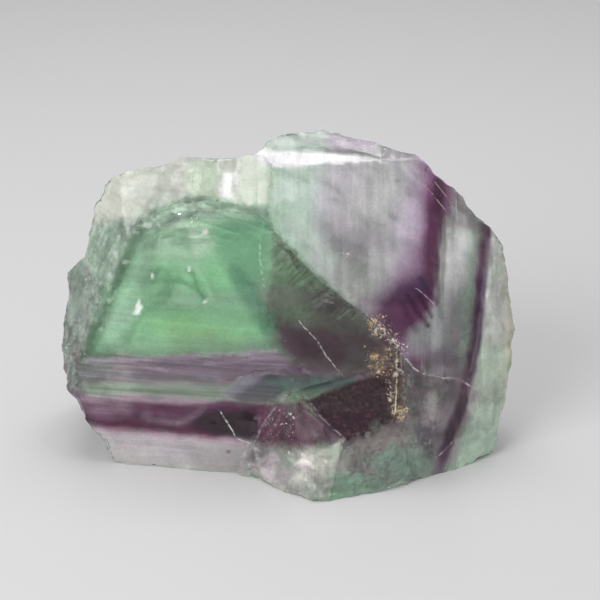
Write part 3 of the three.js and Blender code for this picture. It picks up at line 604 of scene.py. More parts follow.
# Each blurred stroke: name, colour, cover, half width (mm), path on the front plane (mm).
STROKES = [
    # Painted shade and glint: the two small peaks in the window are shaded darker green, with a painted
    # pale glint along the right one.
    ("left peak", PEAK_SHADE, 0.55, 0.3,
     [(-14.8, 18.3), (-14.3, 18.9), (-13.8, 19.3), (-13.2, 18.8), (-12.5, 16.9)]),
    ("right peak", PEAK_SHADE, 0.75, 0.3, [(-10.9, 18.9), (-10.4, 18.6), (-9.8, 16.8), (-9.1, 15.7)]),
    ("right peak painted glint", (206, 232, 206), 0.45, 0.2, [(-10.1, 19.4), (-9, 17.8), (-8.4, 15.8)]),
    ("window curve 1", (122, 172, 126), 0.5, 0.22, [(-18.6, 9.9), (-17.4, 11), (-16.8, 13.2)]),
    ("window curve 2", (136, 168, 128), 0.4, 0.2, [(-19.9, 10.2), (-18.4, 9.7), (-16, 10.4)]),
    # Painted shade: the ledge strokes darken the rough band under the top bevel's overhang.
    ("ledge stroke 1", LEDGE_SHADE, 0.45, 0.3, [(-14.5, 23.2), (-12.8, 24.4), (-10.6, 24.8)]),
    ("ledge stroke 2", LEDGE_SHADE, 0.45, 0.25, [(-13.6, 22.5), (-12.2, 23.4), (-11.2, 23.5)]),
    ("ledge stroke 3", LEDGE_SHADE, 0.35, 0.3, [(-17, 23.4), (-15.6, 24.7), (-14, 25.7), (-11.6, 26.4)]),
    ("hatch 1", HATCH, 0.85, 0.3, [(14.1, 17), (15.0, 15.4), (16.0, 13.8)]),
    ("hatch 2", HATCH, 0.85, 0.32, [(13.4, 16.2), (14.4, 14.4), (15.6, 12.7)]),
    ("hatch 3", HATCH, 0.75, 0.3, [(14.9, 18.2), (15.8, 16.7), (16.6, 15.3)]),
    ("hatch 4", HATCH, 0.6, 0.3, [(12.7, 15.4), (13.6, 13.6), (14.4, 12.2)]),
    ("rim blush", (206, 150, 182), 0.45, 0.35, [(-21.6, 1), (-15, 0.4), (-9.3, 0), (-4.6, -0.5)]),
    ("strip low", (76, 130, 98), 0.75, 1.05, [(-5.6, 18.6), (-3.8, 15.6), (-2.2, 12.8)]),
    ("growth curve", (176, 140, 168), 0.32, 0.36,
     [(-16.1, 2.5), (-14.7, 2.1), (-13.3, 1.8), (-12.1, 1.9), (-11, 2.3), (-9.9, 3), (-9.3, 4)]),
    ("pale layer 1", (196, 188, 200), 0.5, 0.3,
     [(-23, 8.9), (-17, 9), (-12, 9.2), (-6, 9.7), (-1.5, 9.9)]),
    ("pale layer 2", (176, 158, 172), 0.45, 0.22, [(-19, 9), (-16.4, 8.3), (-13.4, 7.6)]),
    ("pale layer 3", (184, 174, 190), 0.4, 0.2, [(-9, 8.5), (-5, 9), (-1.6, 9.1)]),
    ("dark layer 1", (92, 82, 98), 0.5, 0.35, [(-14, 8.4), (-9, 8.6), (-4, 8.5), (-0.6, 8.4)]),
    ("dark layer 2", (80, 88, 86), 0.5, 0.3, [(-23, 7.4), (-18, 7.2), (-13, 7), (-8, 6.9)]),
    ("green layer", (110, 132, 112), 0.45, 0.22, [(-23, 5.6), (-16, 5.4), (-9, 5.3)]),
    ("band edge", (70, 80, 72), 0.5, 0.3, [(17.1, 25), (16.9, 21), (16.7, 17), (17.2, 13.5)]),
    ("thin band", (78, 36, 66), 0.92, 0.68,
     [(22.3, 23.9), (22, 21), (21.7, 18.1), (21.5, 15.5), (21.1, 12.2), (20.8, 10), (20.4, 7.5),
      (20.1, 6), (19.7, 4.1), (19, 2.1), (18.4, 0.5), (18.1, -0.7), (17.7, -2)]),
    ("thin band middle", (60, 26, 50), 0.55, 0.62,
     [(21.9, 17.5), (21.6, 15.5), (21.3, 12.2), (21, 10), (20.7, 8.2)]),
    ("thin band blue", (84, 90, 122), 0.22, 0.3,
     [(22.2, 20), (21.9, 17), (21.6, 13), (21.2, 10), (20.9, 7.5)]),
    ("thin band foot", (40, 12, 34), 0.85, 0.6, [(19.8, 4.3), (19, 2), (18.4, 0.3), (18.1, -1)]),
    ("thin band tail", (84, 50, 84), 0.75, 0.62, [(17.9, -1.6), (17.3, -3), (16.8, -4.4)]),
    ("band core", (58, 16, 46), 0.5, 0.34,
     [(16.6, 29), (17.1, 26.6), (16.9, 23), (16.6, 19.6), (16.3, 17.4)]),
    ("thin band line 1", (156, 140, 156), 0.3, 0.12,
     [(22.5, 22.6), (22.1, 18.4), (21.7, 14.6), (21.2, 11), (20.7, 7.8)]),
    ("thin band line 2", (40, 14, 36), 0.4, 0.2,
     [(22.1, 22.8), (21.7, 18.6), (21.3, 14.6), (20.9, 11.2), (20.4, 8)]),
    ("band top dark", (46, 10, 34), 0.55, 0.6, [(16.8, 29.4), (16.9, 27.4), (16.7, 25.4)]),
    ("blob blue", (72, 52, 92), 0.45, 0.9, [(13, 16.8), (15.2, 17.6)]),
    ("toe streak 1", (140, 104, 122), 0.4, 0.2, [(-0.4, 4.2), (-1.2, 2), (-2.4, 0.2)]),
    ("toe streak 2", (34, 12, 24), 0.6, 0.3, [(0.4, 4), (0, 2), (-0.6, 0.4)]),
    ("toe streak 3", (34, 12, 24), 0.6, 0.28, [(1.4, 3.6), (1.9, 1.8), (2.6, 0.4)]),
    ("toe streak 4", (120, 84, 100), 0.4, 0.18, [(0.9, 3.9), (1.1, 2.2), (1, 0.6)]),
]

CHALK = (244, 242, 236)
GOLD = (212, 178, 128)
PALE_GOLD = (236, 222, 194)
# Two outlines that are used more than once; the left side's lacks its top corner.
LOWER_RIGHT = [(13, 8), (18.6, 7.3), (17.4, 1.5), (16, -3.4), (14, -6), (6, -6), (6.7, 0.2), (12.8, 3.5)]
LEFT_SIDE = [(-19, 25), (-16.5, 24.3), (-18.6, 19.3), (-21.3, 14), (-23, 10), (-24, 5), (-28, 4)]
# Where each kind of fine texture lies: strength, softness (mm), outline on the front plane (mm).
TEXTURES = {
    "feather": [
        (1.0, 0.8,
         [(-1.6, 23), (-0.6, 22.8), (3.6, 18.2), (7, 15.4), (8.4, 14), (6.2, 13), (3.2, 14.8),
          (0.4, 17.2), (-1.8, 19.4)]),
    ],
    "fibre": [
        (1.0, 0.7, [(-26, 24), *LEFT_SIDE]),
    ],
    "arcs": [
        (1.0, 0.4,
         [(-17.4, 24), (-14.6, 25.7), (-9.1, 27.2), (-5.7, 26.6), (-2.1, 26.1), (-2.1, 23), (-7, 21.6),
          (-11, 21.6), (-15.9, 22.8)]),
    ],
    "strata": [
        (0.8, 0.5,
         [(-24.5, 9.8), (-13, 9.6), (0, 10), (0.3, 7), (-2, 4), (-2.6, 0), (-9, 0.2), (-22, 1),
          (-24.5, 5)]),
        (0.18, 0.5, [(-23, 1), (-4.6, -0.4), (-5, -5.5), (-22, -5.5)]),
        (0.1, 0.8, [(-16, 24), (-8, 24), (-1.5, 10.5), (-22, 9.8)]),
    ],
    "mottle": [
        (1.0, 0.3,
         [(1.5, 4.8), (2.6, 4.9), (9.3, 7.2), (12.9, 9), (13, 3.1), (10.6, 1), (6.4, -0.1), (4, 2.6)]),
        (0.8, 0.5,
         [(-2.1, 4.1), (1.5, 4.8), (3.7, 2.6), (4.8, 0.3), (1.5, -0.9), (-2.5, -0.6), (-3.6, 0)]),
        (0.5, 1.0,
         [(-2, 19.9), (-0.9, 22.9), (3.4, 18.1), (9.8, 12.9), (12.7, 8.7), (5.9, 7.2), (-0.1, 10.1),
          (-3.4, 14.1)]),
        (0.4, 0.8, LOWER_RIGHT),
        (0.5, 0.8, [(-26.5, 14), (-23.4, 13.5), (-22.6, 9), (-24, 5), (-28, 4)]),
        (0.35, 0.6, [(-5, 5), (-7.5, 4.4), (-11, 2), (-9, 0.2), (-3, 0)]),
    ],
    "stain": [
        (1.0, 0.5, [(8.8, 14), (11.3, 13.8), (11.6, 11.3), (9.4, 11.5)]),
        (0.9, 0.5, [(9, 9.8), (11.2, 9.8), (11.2, 7), (9, 7.2)]),
        (1.0, 0.4, [(11.4, 4.3), (13.5, 3.9), (13.2, 2), (11.3, 2.3)]),
        (0.35, 0.6, [(9.6, 13.2), (11.8, 13.2), (13.6, 9.5), (13.4, 3), (11.6, 3), (11, 7), (9.4, 9)]),
    ],
    "chalk": [
        (0.5, 0.7, [(-25.5, 14), (-22.8, 13.5), (-22.8, 9), (-26, 8), (-26, 12)]),
        (0.4, 0.7, [(-24, 20), (-20.5, 20), (-19, 17), (-22.6, 16)]),
        (0.45, 0.5, [(-2.2, 3.4), (0.2, 3.9), (1, 2.2), (0.6, 0.2), (-2.4, 0.6)]),
        (0.3, 0.6, [(-1.2, -0.4), (3.6, -0.4), (4, -4), (0.6, -3.6)]),
        (0.8, 0.3, [(-1, 33.2), (3, 34.4), (7.4, 34.3), (12, 33), (7, 33.7), (3, 33.9)]),
        (0.4, 0.5, [(-12, 24.6), (-8.2, 25), (-8, 22.6), (-11, 22)]),
        (0.9, 0.3, [(6, 21), (7.4, 21), (7.2, 20.2), (6.2, 20.2)]),
        (0.9, 0.4, [(8.8, 14), (13.4, 10.6), (13.6, 9.4), (12.6, 9), (11, 11), (8.6, 13.2)]),
        (0.4, 0.5, [(10.6, 10.6), (13.4, 10.2), (13.6, 3), (11.4, 3)]),
    ],
}
# Fine grain directions, as turns about the Y axis; how strongly the ledge's arcs bow, and their middle.
FEATHER_TURN = math.radians(34)
FIBRE_TURN = math.radians(-18)
ARC_BOW = 0.045
ARC_CENTRE = -9.5
# Single chips: colour, centre on the front plane, half width and half height (mm).
CHIPS = [
    (CHALK, (-8.9, 23.3), 0.35, 0.28), (CHALK, (-10.8, 19.0), 0.2, 0.26),
    (CHALK, (-9.0, 15.6), 0.26, 0.2), (CHALK, (-14.9, 18.3), 0.2, 0.24), (CHALK, (1.8, -2.3), 0.7, 0.5),
    ((110, 30, 44), (-6.7, -1.4), 0.25, 0.25), (GOLD, (9.5, 13.1), 0.32, 0.5),
    (PALE_GOLD, (10, 12.1), 0.24, 0.4), (GOLD, (8.7, 10.6), 0.14, 0.2),
    (PALE_GOLD, (10.6, 11.4), 0.16, 0.22), (PALE_GOLD, (11.5, 10.9), 0.26, 0.14),
    (GOLD, (9.7, 9.3), 0.4, 0.22), (GOLD, (9.2, 8.4), 0.2, 0.22), (PALE_GOLD, (10.1, 7.7), 0.28, 0.16),
    (PALE_GOLD, (12.3, 8.7), 0.12, 0.36), (PALE_GOLD, (12.2, 7.3), 0.3, 0.2),
    (CHALK, (12.7, 7.7), 0.16, 0.16), (PALE_GOLD, (11.5, 4.5), 0.09, 0.32),
    (GOLD, (12.5, 3.3), 0.42, 0.2), (PALE_GOLD, (11.7, 2.9), 0.18, 0.14), (GOLD, (11.1, 10.1), 0.2, 0.14),
]


def outline_inside(places, outline):
    """How deep each place lies inside a closed outline; negative outside it."""
    distance = np.full(len(places), 1e9)
    inside = np.zeros(len(places), bool)
    for start, end in zip(outline, outline[1:] + outline[:1]):
        distance = np.minimum(distance, abs(segment_side(places, start, end)))
        crosses = (start[1] > places[:, 1]) != (end[1] > places[:, 1])
        rise = (end[1] - start[1]) or 1e-9
        meets = start[0] + (places[:, 1] - start[1]) * (end[0] - start[0]) / rise
        inside ^= crosses & (places[:, 0] < meets)
    return np.where(inside, distance, -distance)


def patch_share(places, outline, soft):
    """One inside the outline and none outside it, with a soft border."""
    return smoothstep(-soft, soft, outline_inside(places, outline))


def segment_side(places, start, end):
    """Distance to a straight stretch, positive on its left and negative on its right."""
    start, end = np.array(start, float), np.array(end, float)
    along = end - start
    share = np.clip((places - start) @ along / max(along @ along, 1e-9), 0, 1)
    offset = places - start - share[:, None] * along
    side = np.sign(along[0] * offset[:, 1] - along[1] * offset[:, 0])
    return np.where(side == 0, 1, side) * np.linalg.norm(offset, axis=1)


def path_side(places, path):
    """Distance to the nearest stretch of a path, with the sign of its side."""
    sides = np.array([segment_side(places, a, b) for a, b in zip(path, path[1:])])
    return np.take_along_axis(sides, abs(sides).argmin(0)[None], 0)[0]


def front_share(normals):
    """One where the surface faces the front, none where it faces away."""
    facing = normals @ np.array([0, -math.cos(FRONT_LEAN), math.sin(FRONT_LEAN)])
    return smoothstep(*FRONT_FACING, facing)


def laid_over(colour, cover, tone, share):
    """One more colour laid over what is there, with the cover that results."""
    new_cover = share + cover * (1 - share)
    weight = (share / np.maximum(new_cover, 1e-6))[:, None]
    return colour * (1 - weight) + np.array(srgb(*tone)) * weight, new_cover


def paint_patches(points, front, ragged):
    """Colour with its cover, clearness and haze for every point, laid patch over patch."""
    frayed = wander(points, FRAY, (62, 72), 4) * ragged[:, None]
    places = front_plane(points) + wander(points, PATCH_WANDER, (61, 71)) + frayed
    colour = np.zeros((len(points), 3))
    cover = np.zeros(len(points))
    clear = np.full(len(points), BODY_CLEAR)
    haze = np.full(len(points), BODY_HAZE)
    for _, tone, strength, soft, clearness, cloudy, outline in PATCHES:
        share = front * patch_share(places, outline, soft)
        clear = clear * (1 - share) + clearness * share
        haze = haze * (1 - share) + cloudy * share
        colour, cover = laid_over(colour, cover, tone, share * strength)
    return colour, cover, clear, haze


def paint_strokes(points, front, colour, cover, clear):
    """Blurred strokes inside the stone, each dark or pale along its path."""
    places = front_plane(points) + wander(points, STROKE_WANDER, (181, 191))
    swing = STROKE_SWING * fractal(points * (1, 1, 0.4), STROKE_GRAIN, 201)
    patchy = np.clip(STROKE_MEAN + swing, *STROKE_LIMITS)
    for _, tone, strength, width, path in STROKES:
        share = strength * front * patchy * smoothstep(*STROKE_FADE, abs(path_side(places, path)) / width)
        colour, cover = laid_over(colour, cover, tone, share)
        clear = clear * (1 - STROKE_DULLING * share)
    return colour, cover, clear


def paint_chips(points, front, colour, cover, clear):
    """Single chips and one dark grain, each a small opaque spot."""
    places = front_plane(points) + wander(points, CHIP_WANDER, (161, 171))
    for tone, centre, wide, tall in CHIPS:
        reach = np.linalg.norm((places - centre) / (wide, tall), axis=1)
        share = front * smoothstep(*CHIP_FADE, reach)
        colour, cover = laid_over(colour, cover, tone, share)
        clear = clear * (1 - share)
    return colour, cover, clear


def area_share(points, front, areas):
    """How strongly a set of front-plane areas covers each point."""
    places = front_plane(points)
    shares = [amount * patch_share(places, outline, soft) for amount, soft, outline in areas]
    return front * np.max(shares, axis=0)


def paint_marks(points, front):
    """Colour with its cover for the nearest line, and how many half widths away its middle is, by side."""
    places = front_plane(points) + wander(points, LINE_WANDER, (81, 91))
    nearest = np.full(len(points), 1e9)
    side = np.full(len(points), 1e3)
    paint = np.zeros((len(points), 4))
    for _, tone, strength, width, path in MARKS:
        distance = path_side(places, path)
        closer = abs(distance) < nearest
        nearest = np.where(closer, abs(distance), nearest)
        side = np.where(closer, distance / width, side)
        share = strength * front * smoothstep(MARK_REACH, MARK_REACH * 0.6, abs(distance))
        layer = np.column_stack([np.tile(srgb(*tone), (len(points), 1)), share])
        paint = np.where(closer[:, None], layer, paint)
    return paint, np.clip(side, -MARK_FAR, MARK_FAR)


# ---------------------------------------------------------------- material

# The upright bands of the right side: how they lean, and the colour at each place across (mm).
ACROSS_TILT = 0.18
ACROSS_LEVEL = 15.0
ACROSS_RANGE = (-30.0, 30.0)
ACROSS_BANDS = [
    (-26, (206, 230, 208)), (-5, (204, 232, 208)), (-3.9, (220, 246, 226)), (0, (222, 240, 228)),
    (1.5, (228, 224, 230)), (4, (220, 214, 220)), (5.5, (224, 220, 222)), (8, (222, 222, 220)),
    (10.6, (218, 212, 220)), (12.2, (196, 170, 196)), (13.5, (164, 120, 156)), (14.3, (108, 54, 90)),
    (15.3, (108, 54, 90)), (15.9, (170, 178, 168)), (16.8, (232, 236, 230)), (18.3, (232, 238, 230)),
    (19.3, (166, 190, 168)), (20.2, (136, 114, 132)), (20.9, (84, 42, 72)), (21.5, (170, 164, 172)),
    (22.2, (236, 248, 234)), (26, (240, 246, 234)),
]
# The level bands of the left side: the colour at each height (mm).
DOWN_RANGE = (0.0, 36.0)
DOWN_BANDS = [
    (0.4, (196, 210, 194)), (1.5, (220, 208, 216)), (3.5, (212, 198, 208)), (4.0, (104, 60, 88)),
    (4.8, (66, 24, 50)), (5.8, (106, 54, 90)), (7.9, (124, 84, 114)), (8.5, (160, 174, 156)),
    (9.9, (150, 176, 150)), (10.6, (130, 122, 128)), (11.8, (156, 132, 152)), (12.6, (142, 124, 140)),
    (13.4, (150, 184, 152)), (15, (160, 214, 166)), (21, (160, 212, 168)), (28, (190, 220, 194)),
    (35, (214, 228, 214)),
]
# The slanting border between the two sets of bands, and half its softness (mm).
SECTOR_SLOPE = 1.3
SECTOR_LEVEL = 30.6
SECTOR_SOFT = 1.5
# How far the level bands drift, and how far the streaks blur the upright ones' borders (mm).
BAND_DRIFT = 0.8
BAND_FUZZ = 3.4
IOR = 1.434
COAT_ROUGHNESS = 0.1
# Each long grain: the scales of its noise along X, Y and Z (per mm), detail and distortion.
LEVEL_STREAKS = ((0.09, 0.09, 1.9), 4)
UPRIGHT_STREAKS = ((1.3, 0.2, 0.09), 4)
FEATHER_STROKES = ((0.36, 0.5, 1.7), 7, 0.9)
FIBRES = ((1.3, 0.5, 0.3), 7, 0.5)
LEDGE_ARCS = ((0.3, 0.4, 1.5), 7, 0.5)
THIN_LAYERS = ((0.12, 0.2, 2.6), 6, 0.3)
# Each even noise: scale (per mm), detail and distortion.
CLOUD_NOISE = (0.5, 5)
GRAIN_NOISE = (3.0, 4)
FINE_NOISE = (2.2, 5)
MOTTLE_NOISE = (2.2, 7, 0.3)
DRIFT_NOISE = (0.32, 5, 0.7)
BLOTCH_NOISE = (0.45, 7, 0.9)
VEIL_NOISE = (0.7, 6, 1.5)
CLUMP_NOISE = (0.9, 3)
RUST_NOISE = (4.4, 7, 0.6)
CHALK_NOISE = (5.2, 7, 0.6)
# Each span: the noise values where it starts and where it ends, and how strong it is at the two.
CLOUD_SPAN = (0.3, 0.7, 0.93, 1.07)
GRAIN_SPAN = (0.3, 0.7, 0.92, 1.08)
STREAK_SPAN = (0.34, 0.66, -0.11, 0.11)
LINE_SPAN = (0.44, 0.54, 0.15, 1.0)
DARK_FEATHERS = (0.46, 0.6, 0.0, 0.5)
LIGHT_FEATHERS = (0.44, 0.34, 0.0, 0.4)
FIBRE_SPAN = (0.36, 0.64, -0.28, 0.18)
ARC_SPAN = (0.38, 0.62, -0.24, 0.2)
LAYER_SPAN = (0.36, 0.64, -0.3, 0.26)
DARK_MOTTLE = (0.52, 0.36, 0.0, 0.6)
LIGHT_MOTTLE = (0.52, 0.7, 0.0, 0.3)
BLOTCH_SPAN = (0.38, 0.62, -0.34, 0.26)
VEIL_SPAN = (0.56, 0.68, 0.0, 0.35)
CLUMP_SPAN = (0.83, 0.95, 0.0, 0.85)
# How much of its clearness the stone loses under its pale veil and under its crisp lines.
VEIL_DULLING = 0.5
LINE_DULLING = 0.6
VEIL = (232, 234, 226)
RUST = (226, 200, 156)
MOTTLE_DARK = (30, 14, 22)
MOTTLE_LIGHT = (118, 78, 84)
# Drifts of other colours in broken places: colour and span.
DRIFTS = [((150, 184, 156), (0.52, 0.64, 0.0, 0.5)), ((134, 104, 124), (0.46, 0.34, 0.0, 0.5))]
# What the stone absorbs with depth: the colour that is left, and the density (per metre).
DEPTH_TINT = (212, 240, 220)
DEPTH_DENSITY = 8.0


class Nodes:
    """Short calls for making and joining shader nodes."""

    def __init__(self, material):
        self.tree = material.node_tree

    def add(self, kind, inputs=(), **settings):
        node = self.tree.nodes.new(kind)
        for name, value in settings.items():
            setattr(node, name, value)
        for socket, value in dict(inputs).items():
            if isinstance(value, bpy.types.NodeSocket):
                self.tree.links.new(value, node.inputs[socket])
            else:
                node.inputs[socket].default_value = value
        return node

    def math(self, operation, first, second=0.0, third=0.0):
        inputs = {0: first, 1: second, 2: third}
        return self.add("ShaderNodeMath", inputs, operation=operation).outputs[0]

    def times(self, first, second):
        return self.math("MULTIPLY", first, second)

    def span(self, value, low, high, to_low=0.0, to_high=1.0):
        """A soft rise from to_low, where the value is low, to to_high, where it is high."""
        inputs = {"Value": value, "From Min": low, "From Max": high, "To Min": to_low, "To Max": to_high}
        node = self.add("ShaderNodeMapRange", inputs, interpolation_type="SMOOTHSTEP")
        return node.outputs["Result"]

    def mix(self, share, first, second):
        inputs = {0: share, 6: first, 7: second}
        return self.add("ShaderNodeMix", inputs, data_type="RGBA").outputs[2]

    def ramp(self, value, bands, limits):
        """The colour of the bands at this value."""
        low, high = limits
        share = self.add("ShaderNodeMapRange", {"Value": value, "From Min": low, "From Max": high})
        node = self.add("ShaderNodeValToRGB", {"Fac": share.outputs["Result"]})
        stops = node.color_ramp.elements
        while len(stops) < len(bands):
            stops.new(0.5)
        for stop, (place, tone) in zip(stops, bands):
            stop.position = (place - low) / (high - low)
            stop.color = rgba(tone)
        return node.outputs["Color"]

    def noise(self, vector, scale, detail=3.0, distortion=0.0):
        inputs = {"Vector": vector, "Scale": scale, "Detail": detail, "Distortion": distortion}
        return self.add("ShaderNodeTexNoise", inputs).outputs["Fac"]

    def grain(self, vector, scales, detail, distortion=0.0):
        """Noise that is finer along one axis than along another."""
        return self.noise(self.stretched(vector, scales), 1.0, detail, distortion)

    def stretched(self, vector, scales):
        node = self.add("ShaderNodeVectorMath", {0: vector, 1: scales}, operation="MULTIPLY")
        return node.outputs[0]

    def attribute(self, name):
        return self.add("ShaderNodeAttribute", attribute_name=name).outputs

    def layer(self, name):
        """A number that is stored for each point of the mesh."""
        return self.attribute(name)["Fac"]

    def layer_span(self, name, value, *span):
        """A span of the value, as strong as the named layer."""
        return self.times(self.span(value, *span), self.layer(name))

    def scaled(self, colour, amount):
        return self.add("ShaderNodeVectorMath", {0: colour, "Scale": amount}, operation="SCALE").outputs[0]


def growth_axes(nodes, place):
    """Places across the upright bands, up the level ones, and the share of the upright sector."""
    axes = nodes.add("ShaderNodeSeparateXYZ", {0: place})
    x, z = axes.outputs["X"], axes.outputs["Z"]
    across = nodes.math("MULTIPLY_ADD", z, -ACROSS_TILT, nodes.math("ADD", x, ACROSS_TILT * ACROSS_LEVEL))
    drift = nodes.math("MULTIPLY_ADD", nodes.noise(place, 0.25), BAND_DRIFT, -BAND_DRIFT / 2)
    sector = nodes.math("MULTIPLY_ADD", z, SECTOR_SLOPE, across)
    share = nodes.span(sector, SECTOR_LEVEL - SECTOR_SOFT, SECTOR_LEVEL + SECTOR_SOFT)
    return across, nodes.math("ADD", z, drift), share


def growth_streaks(nodes, place, sector):
    """Fine streaks along the growth bands: level on the left, upright on the right."""
    level = nodes.grain(place, *LEVEL_STREAKS)
    upright = nodes.grain(place, *UPRIGHT_STREAKS)
    return nodes.math("MULTIPLY_ADD", sector, nodes.math("SUBTRACT", upright, level), level)


def band_colour(nodes, across, down, sector, streaks):
    """The stone's own bands, with the borders of the upright ones blurred by the streaks."""
    fuzzy = nodes.math("ADD", across, nodes.math("MULTIPLY_ADD", streaks, BAND_FUZZ, -BAND_FUZZ / 2))
    level = nodes.ramp(down, DOWN_BANDS, DOWN_RANGE)
    upright = nodes.ramp(fuzzy, ACROSS_BANDS, ACROSS_RANGE)
    return nodes.mix(sector, level, upright)


def add_marks(nodes, place, colour):
    """The crisp lines: cracks, creases and rims, broken up along their length."""
    mark = nodes.attribute("mark")
    side = nodes.math("ABSOLUTE", nodes.layer("mark_side"))
    line = nodes.span(side, *LINE_FADE)
    broken = nodes.span(nodes.noise(place, *FINE_NOISE), *LINE_SPAN)
    share = nodes.times(nodes.times(line, broken), mark["Alpha"])
    return nodes.mix(share, colour, mark["Color"]), share


def turned(nodes, place, angle):
    inputs = {"Vector": place, "Angle": angle}
    return nodes.add("ShaderNodeVectorRotate", inputs, rotation_type="Y_AXIS").outputs[0]


def add_feathers(nodes, place, colour):
    """Dark and light brush strokes along the sharp edge of the dark slanting zone."""
    strokes = nodes.grain(turned(nodes, place, FEATHER_TURN), *FEATHER_STROKES)
    dark = nodes.layer_span("feather", strokes, *DARK_FEATHERS)
    light = nodes.layer_span("feather", strokes, *LIGHT_FEATHERS)
    return nodes.mix(dark, nodes.mix(light, colour, rgba(FEATHER_LIGHT)), rgba(FEATHER))


def bowed(nodes, place):
    """Places bent so that level lines follow the arcs of the scalloped ledge."""
    axes = nodes.add("ShaderNodeSeparateXYZ", {0: place})
    x, y, z = axes.outputs
    off = nodes.math("SUBTRACT", x, ARC_CENTRE)
    lift = nodes.times(nodes.times(off, off), ARC_BOW)
    return nodes.add("ShaderNodeCombineXYZ", {0: x, 1: y, 2: nodes.math("ADD", z, lift)}).outputs[0]


def local_grain(nodes, place):
    """Brightness of the fibrous left bevel, of the ledge's arcs and of the layered bands; one elsewhere."""
    fibres = nodes.grain(turned(nodes, place, FIBRE_TURN), *FIBRES)
    arcs = nodes.grain(bowed(nodes, place), *LEDGE_ARCS)
    layers = nodes.grain(place, *THIN_LAYERS)
    fibre = nodes.layer_span("fibre", fibres, *FIBRE_SPAN)
    arc = nodes.layer_span("arcs", arcs, *ARC_SPAN)
    strata = nodes.layer_span("strata", layers, *LAYER_SPAN)
    return nodes.math("ADD", nodes.math("ADD", fibre, arc), nodes.math("ADD", strata, 1.0))


def add_mottle(nodes, place, colour):
    """Fine reddish and near-black mottling of the darkest zones."""
    grain = nodes.noise(place, *MOTTLE_NOISE)
    dark = nodes.layer_span("mottle", grain, *DARK_MOTTLE)
    light = nodes.layer_span("mottle", grain, *LIGHT_MOTTLE)
    return nodes.mix(light, nodes.mix(dark, colour, rgba(MOTTLE_DARK)), rgba(MOTTLE_LIGHT))


def add_shatter(nodes, place, colour):
    """Broken places: drifts of green and lilac, with cloudy blotches, fine grain and a pale veil."""
    drift = nodes.noise(place, *DRIFT_NOISE)
    for tone, span in DRIFTS:
        colour = nodes.mix(nodes.layer_span("broken", drift, *span), colour, rgba(tone))
    blotch = nodes.noise(place, *BLOTCH_NOISE)
    grain = nodes.noise(place, *FINE_NOISE)
    cloudy = nodes.math("ADD", nodes.times(blotch, 0.75), nodes.times(grain, 0.25))
    factor = nodes.math("ADD", nodes.layer_span("broken", cloudy, *BLOTCH_SPAN), 1.0)
    veil = nodes.layer_span("broken", nodes.noise(place, *VEIL_NOISE), *VEIL_SPAN)
    return nodes.mix(veil, nodes.scaled(colour, factor), rgba(VEIL)), veil


def clumped_grains(nodes, place, texture, name):
    """Loose clumps of grains, denser where the named layer is stronger."""
    dense = nodes.layer(name)
    clumps = nodes.noise(place, *CLUMP_NOISE)
    grains = nodes.math("MULTIPLY_ADD", clumps, 0.35, nodes.noise(place, *texture))
    share = nodes.span(nodes.math("MULTIPLY_ADD", dense, 0.14, grains), *CLUMP_SPAN)
    return nodes.times(share, nodes.span(dense, 0.02, 0.2))


def add_flecks(nodes, place, colour):
    """Rusty grains, and chalky grains where the surface is bruised."""
    rust = clumped_grains(nodes, place, RUST_NOISE, "stain")
    chalk = clumped_grains(nodes, nodes.stretched(place, (1.0, 1.0, 0.8)), CHALK_NOISE, "chalk")
    colour = nodes.mix(chalk, nodes.mix(rust, colour, rgba(RUST)), rgba(CHALK))
    return colour, nodes.math("MAXIMUM", rust, chalk)


def add_absorption(nodes):
    """The faint green that the stone takes on with depth."""
    inputs = {"Color": rgba(DEPTH_TINT), "Density": DEPTH_DENSITY}
    absorption = nodes.add("ShaderNodeVolumeAbsorption", inputs)
    output = nodes.tree.nodes["Material Output"]
    nodes.tree.links.new(absorption.outputs["Volume"], output.inputs["Volume"])


def stone_colour(nodes, place):
    """The bands with the front's paint over them, and the stone's overall clouds, grain and streaks."""
    across, down, sector = growth_axes(nodes, place)
    streaks = growth_streaks(nodes, place, sector)
    bands = band_colour(nodes, across, down, sector, streaks)
    painted = nodes.attribute("paint")
    colour = nodes.mix(painted["Alpha"], bands, painted["Color"])
    clouds = nodes.span(nodes.noise(place, *CLOUD_NOISE), *CLOUD_SPAN)
    grain = nodes.span(nodes.noise(place, *GRAIN_NOISE), *GRAIN_SPAN)
    streak_depth = nodes.math("MULTIPLY_ADD", sector, 0.6, 0.5)
    streaked = nodes.math("MULTIPLY_ADD", nodes.span(streaks, *STREAK_SPAN), streak_depth, 1.0)
    return nodes.scaled(colour, nodes.times(nodes.times(clouds, grain), streaked))


def crystal_material():
    material = bpy.data.materials.new("fluorite")
    material.use_nodes = True
    nodes = Nodes(material)
    place = nodes.stretched(nodes.add("ShaderNodeTexCoord").outputs["Object"], (1 / MM, 1 / MM, 1 / MM))
    colour = nodes.scaled(stone_colour(nodes, place), local_grain(nodes, place))
    colour = add_mottle(nodes, place, add_feathers(nodes, place, colour))
    colour, veiled = add_shatter(nodes, place, colour)
    colour, marked = add_marks(nodes, place, colour)
    colour, flecked = add_flecks(nodes, place, colour)
    opaque = nodes.math("MAXIMUM", nodes.times(veiled, VEIL_DULLING), nodes.times(marked, LINE_DULLING))
    opaque = nodes.math("MAXIMUM", opaque, flecked)
    shader = material.node_tree.nodes["Principled BSDF"].inputs
    link = material.node_tree.links.new
    link(colour, shader["Base Color"])
    clear = nodes.times(nodes.layer("clear"), nodes.math("SUBTRACT", 1.0, opaque))
    link(clear, shader["Transmission Weight"])
    link(nodes.layer("haze"), shader["Roughness"])
    link(nodes.layer("coat"), shader["Coat Weight"])
    shader["Coat Roughness"].default_value = COAT_ROUGHNESS
    shader["IOR"].default_value = IOR
    add_absorption(nodes)
    return material


# ---------------------------------------------------------------- build

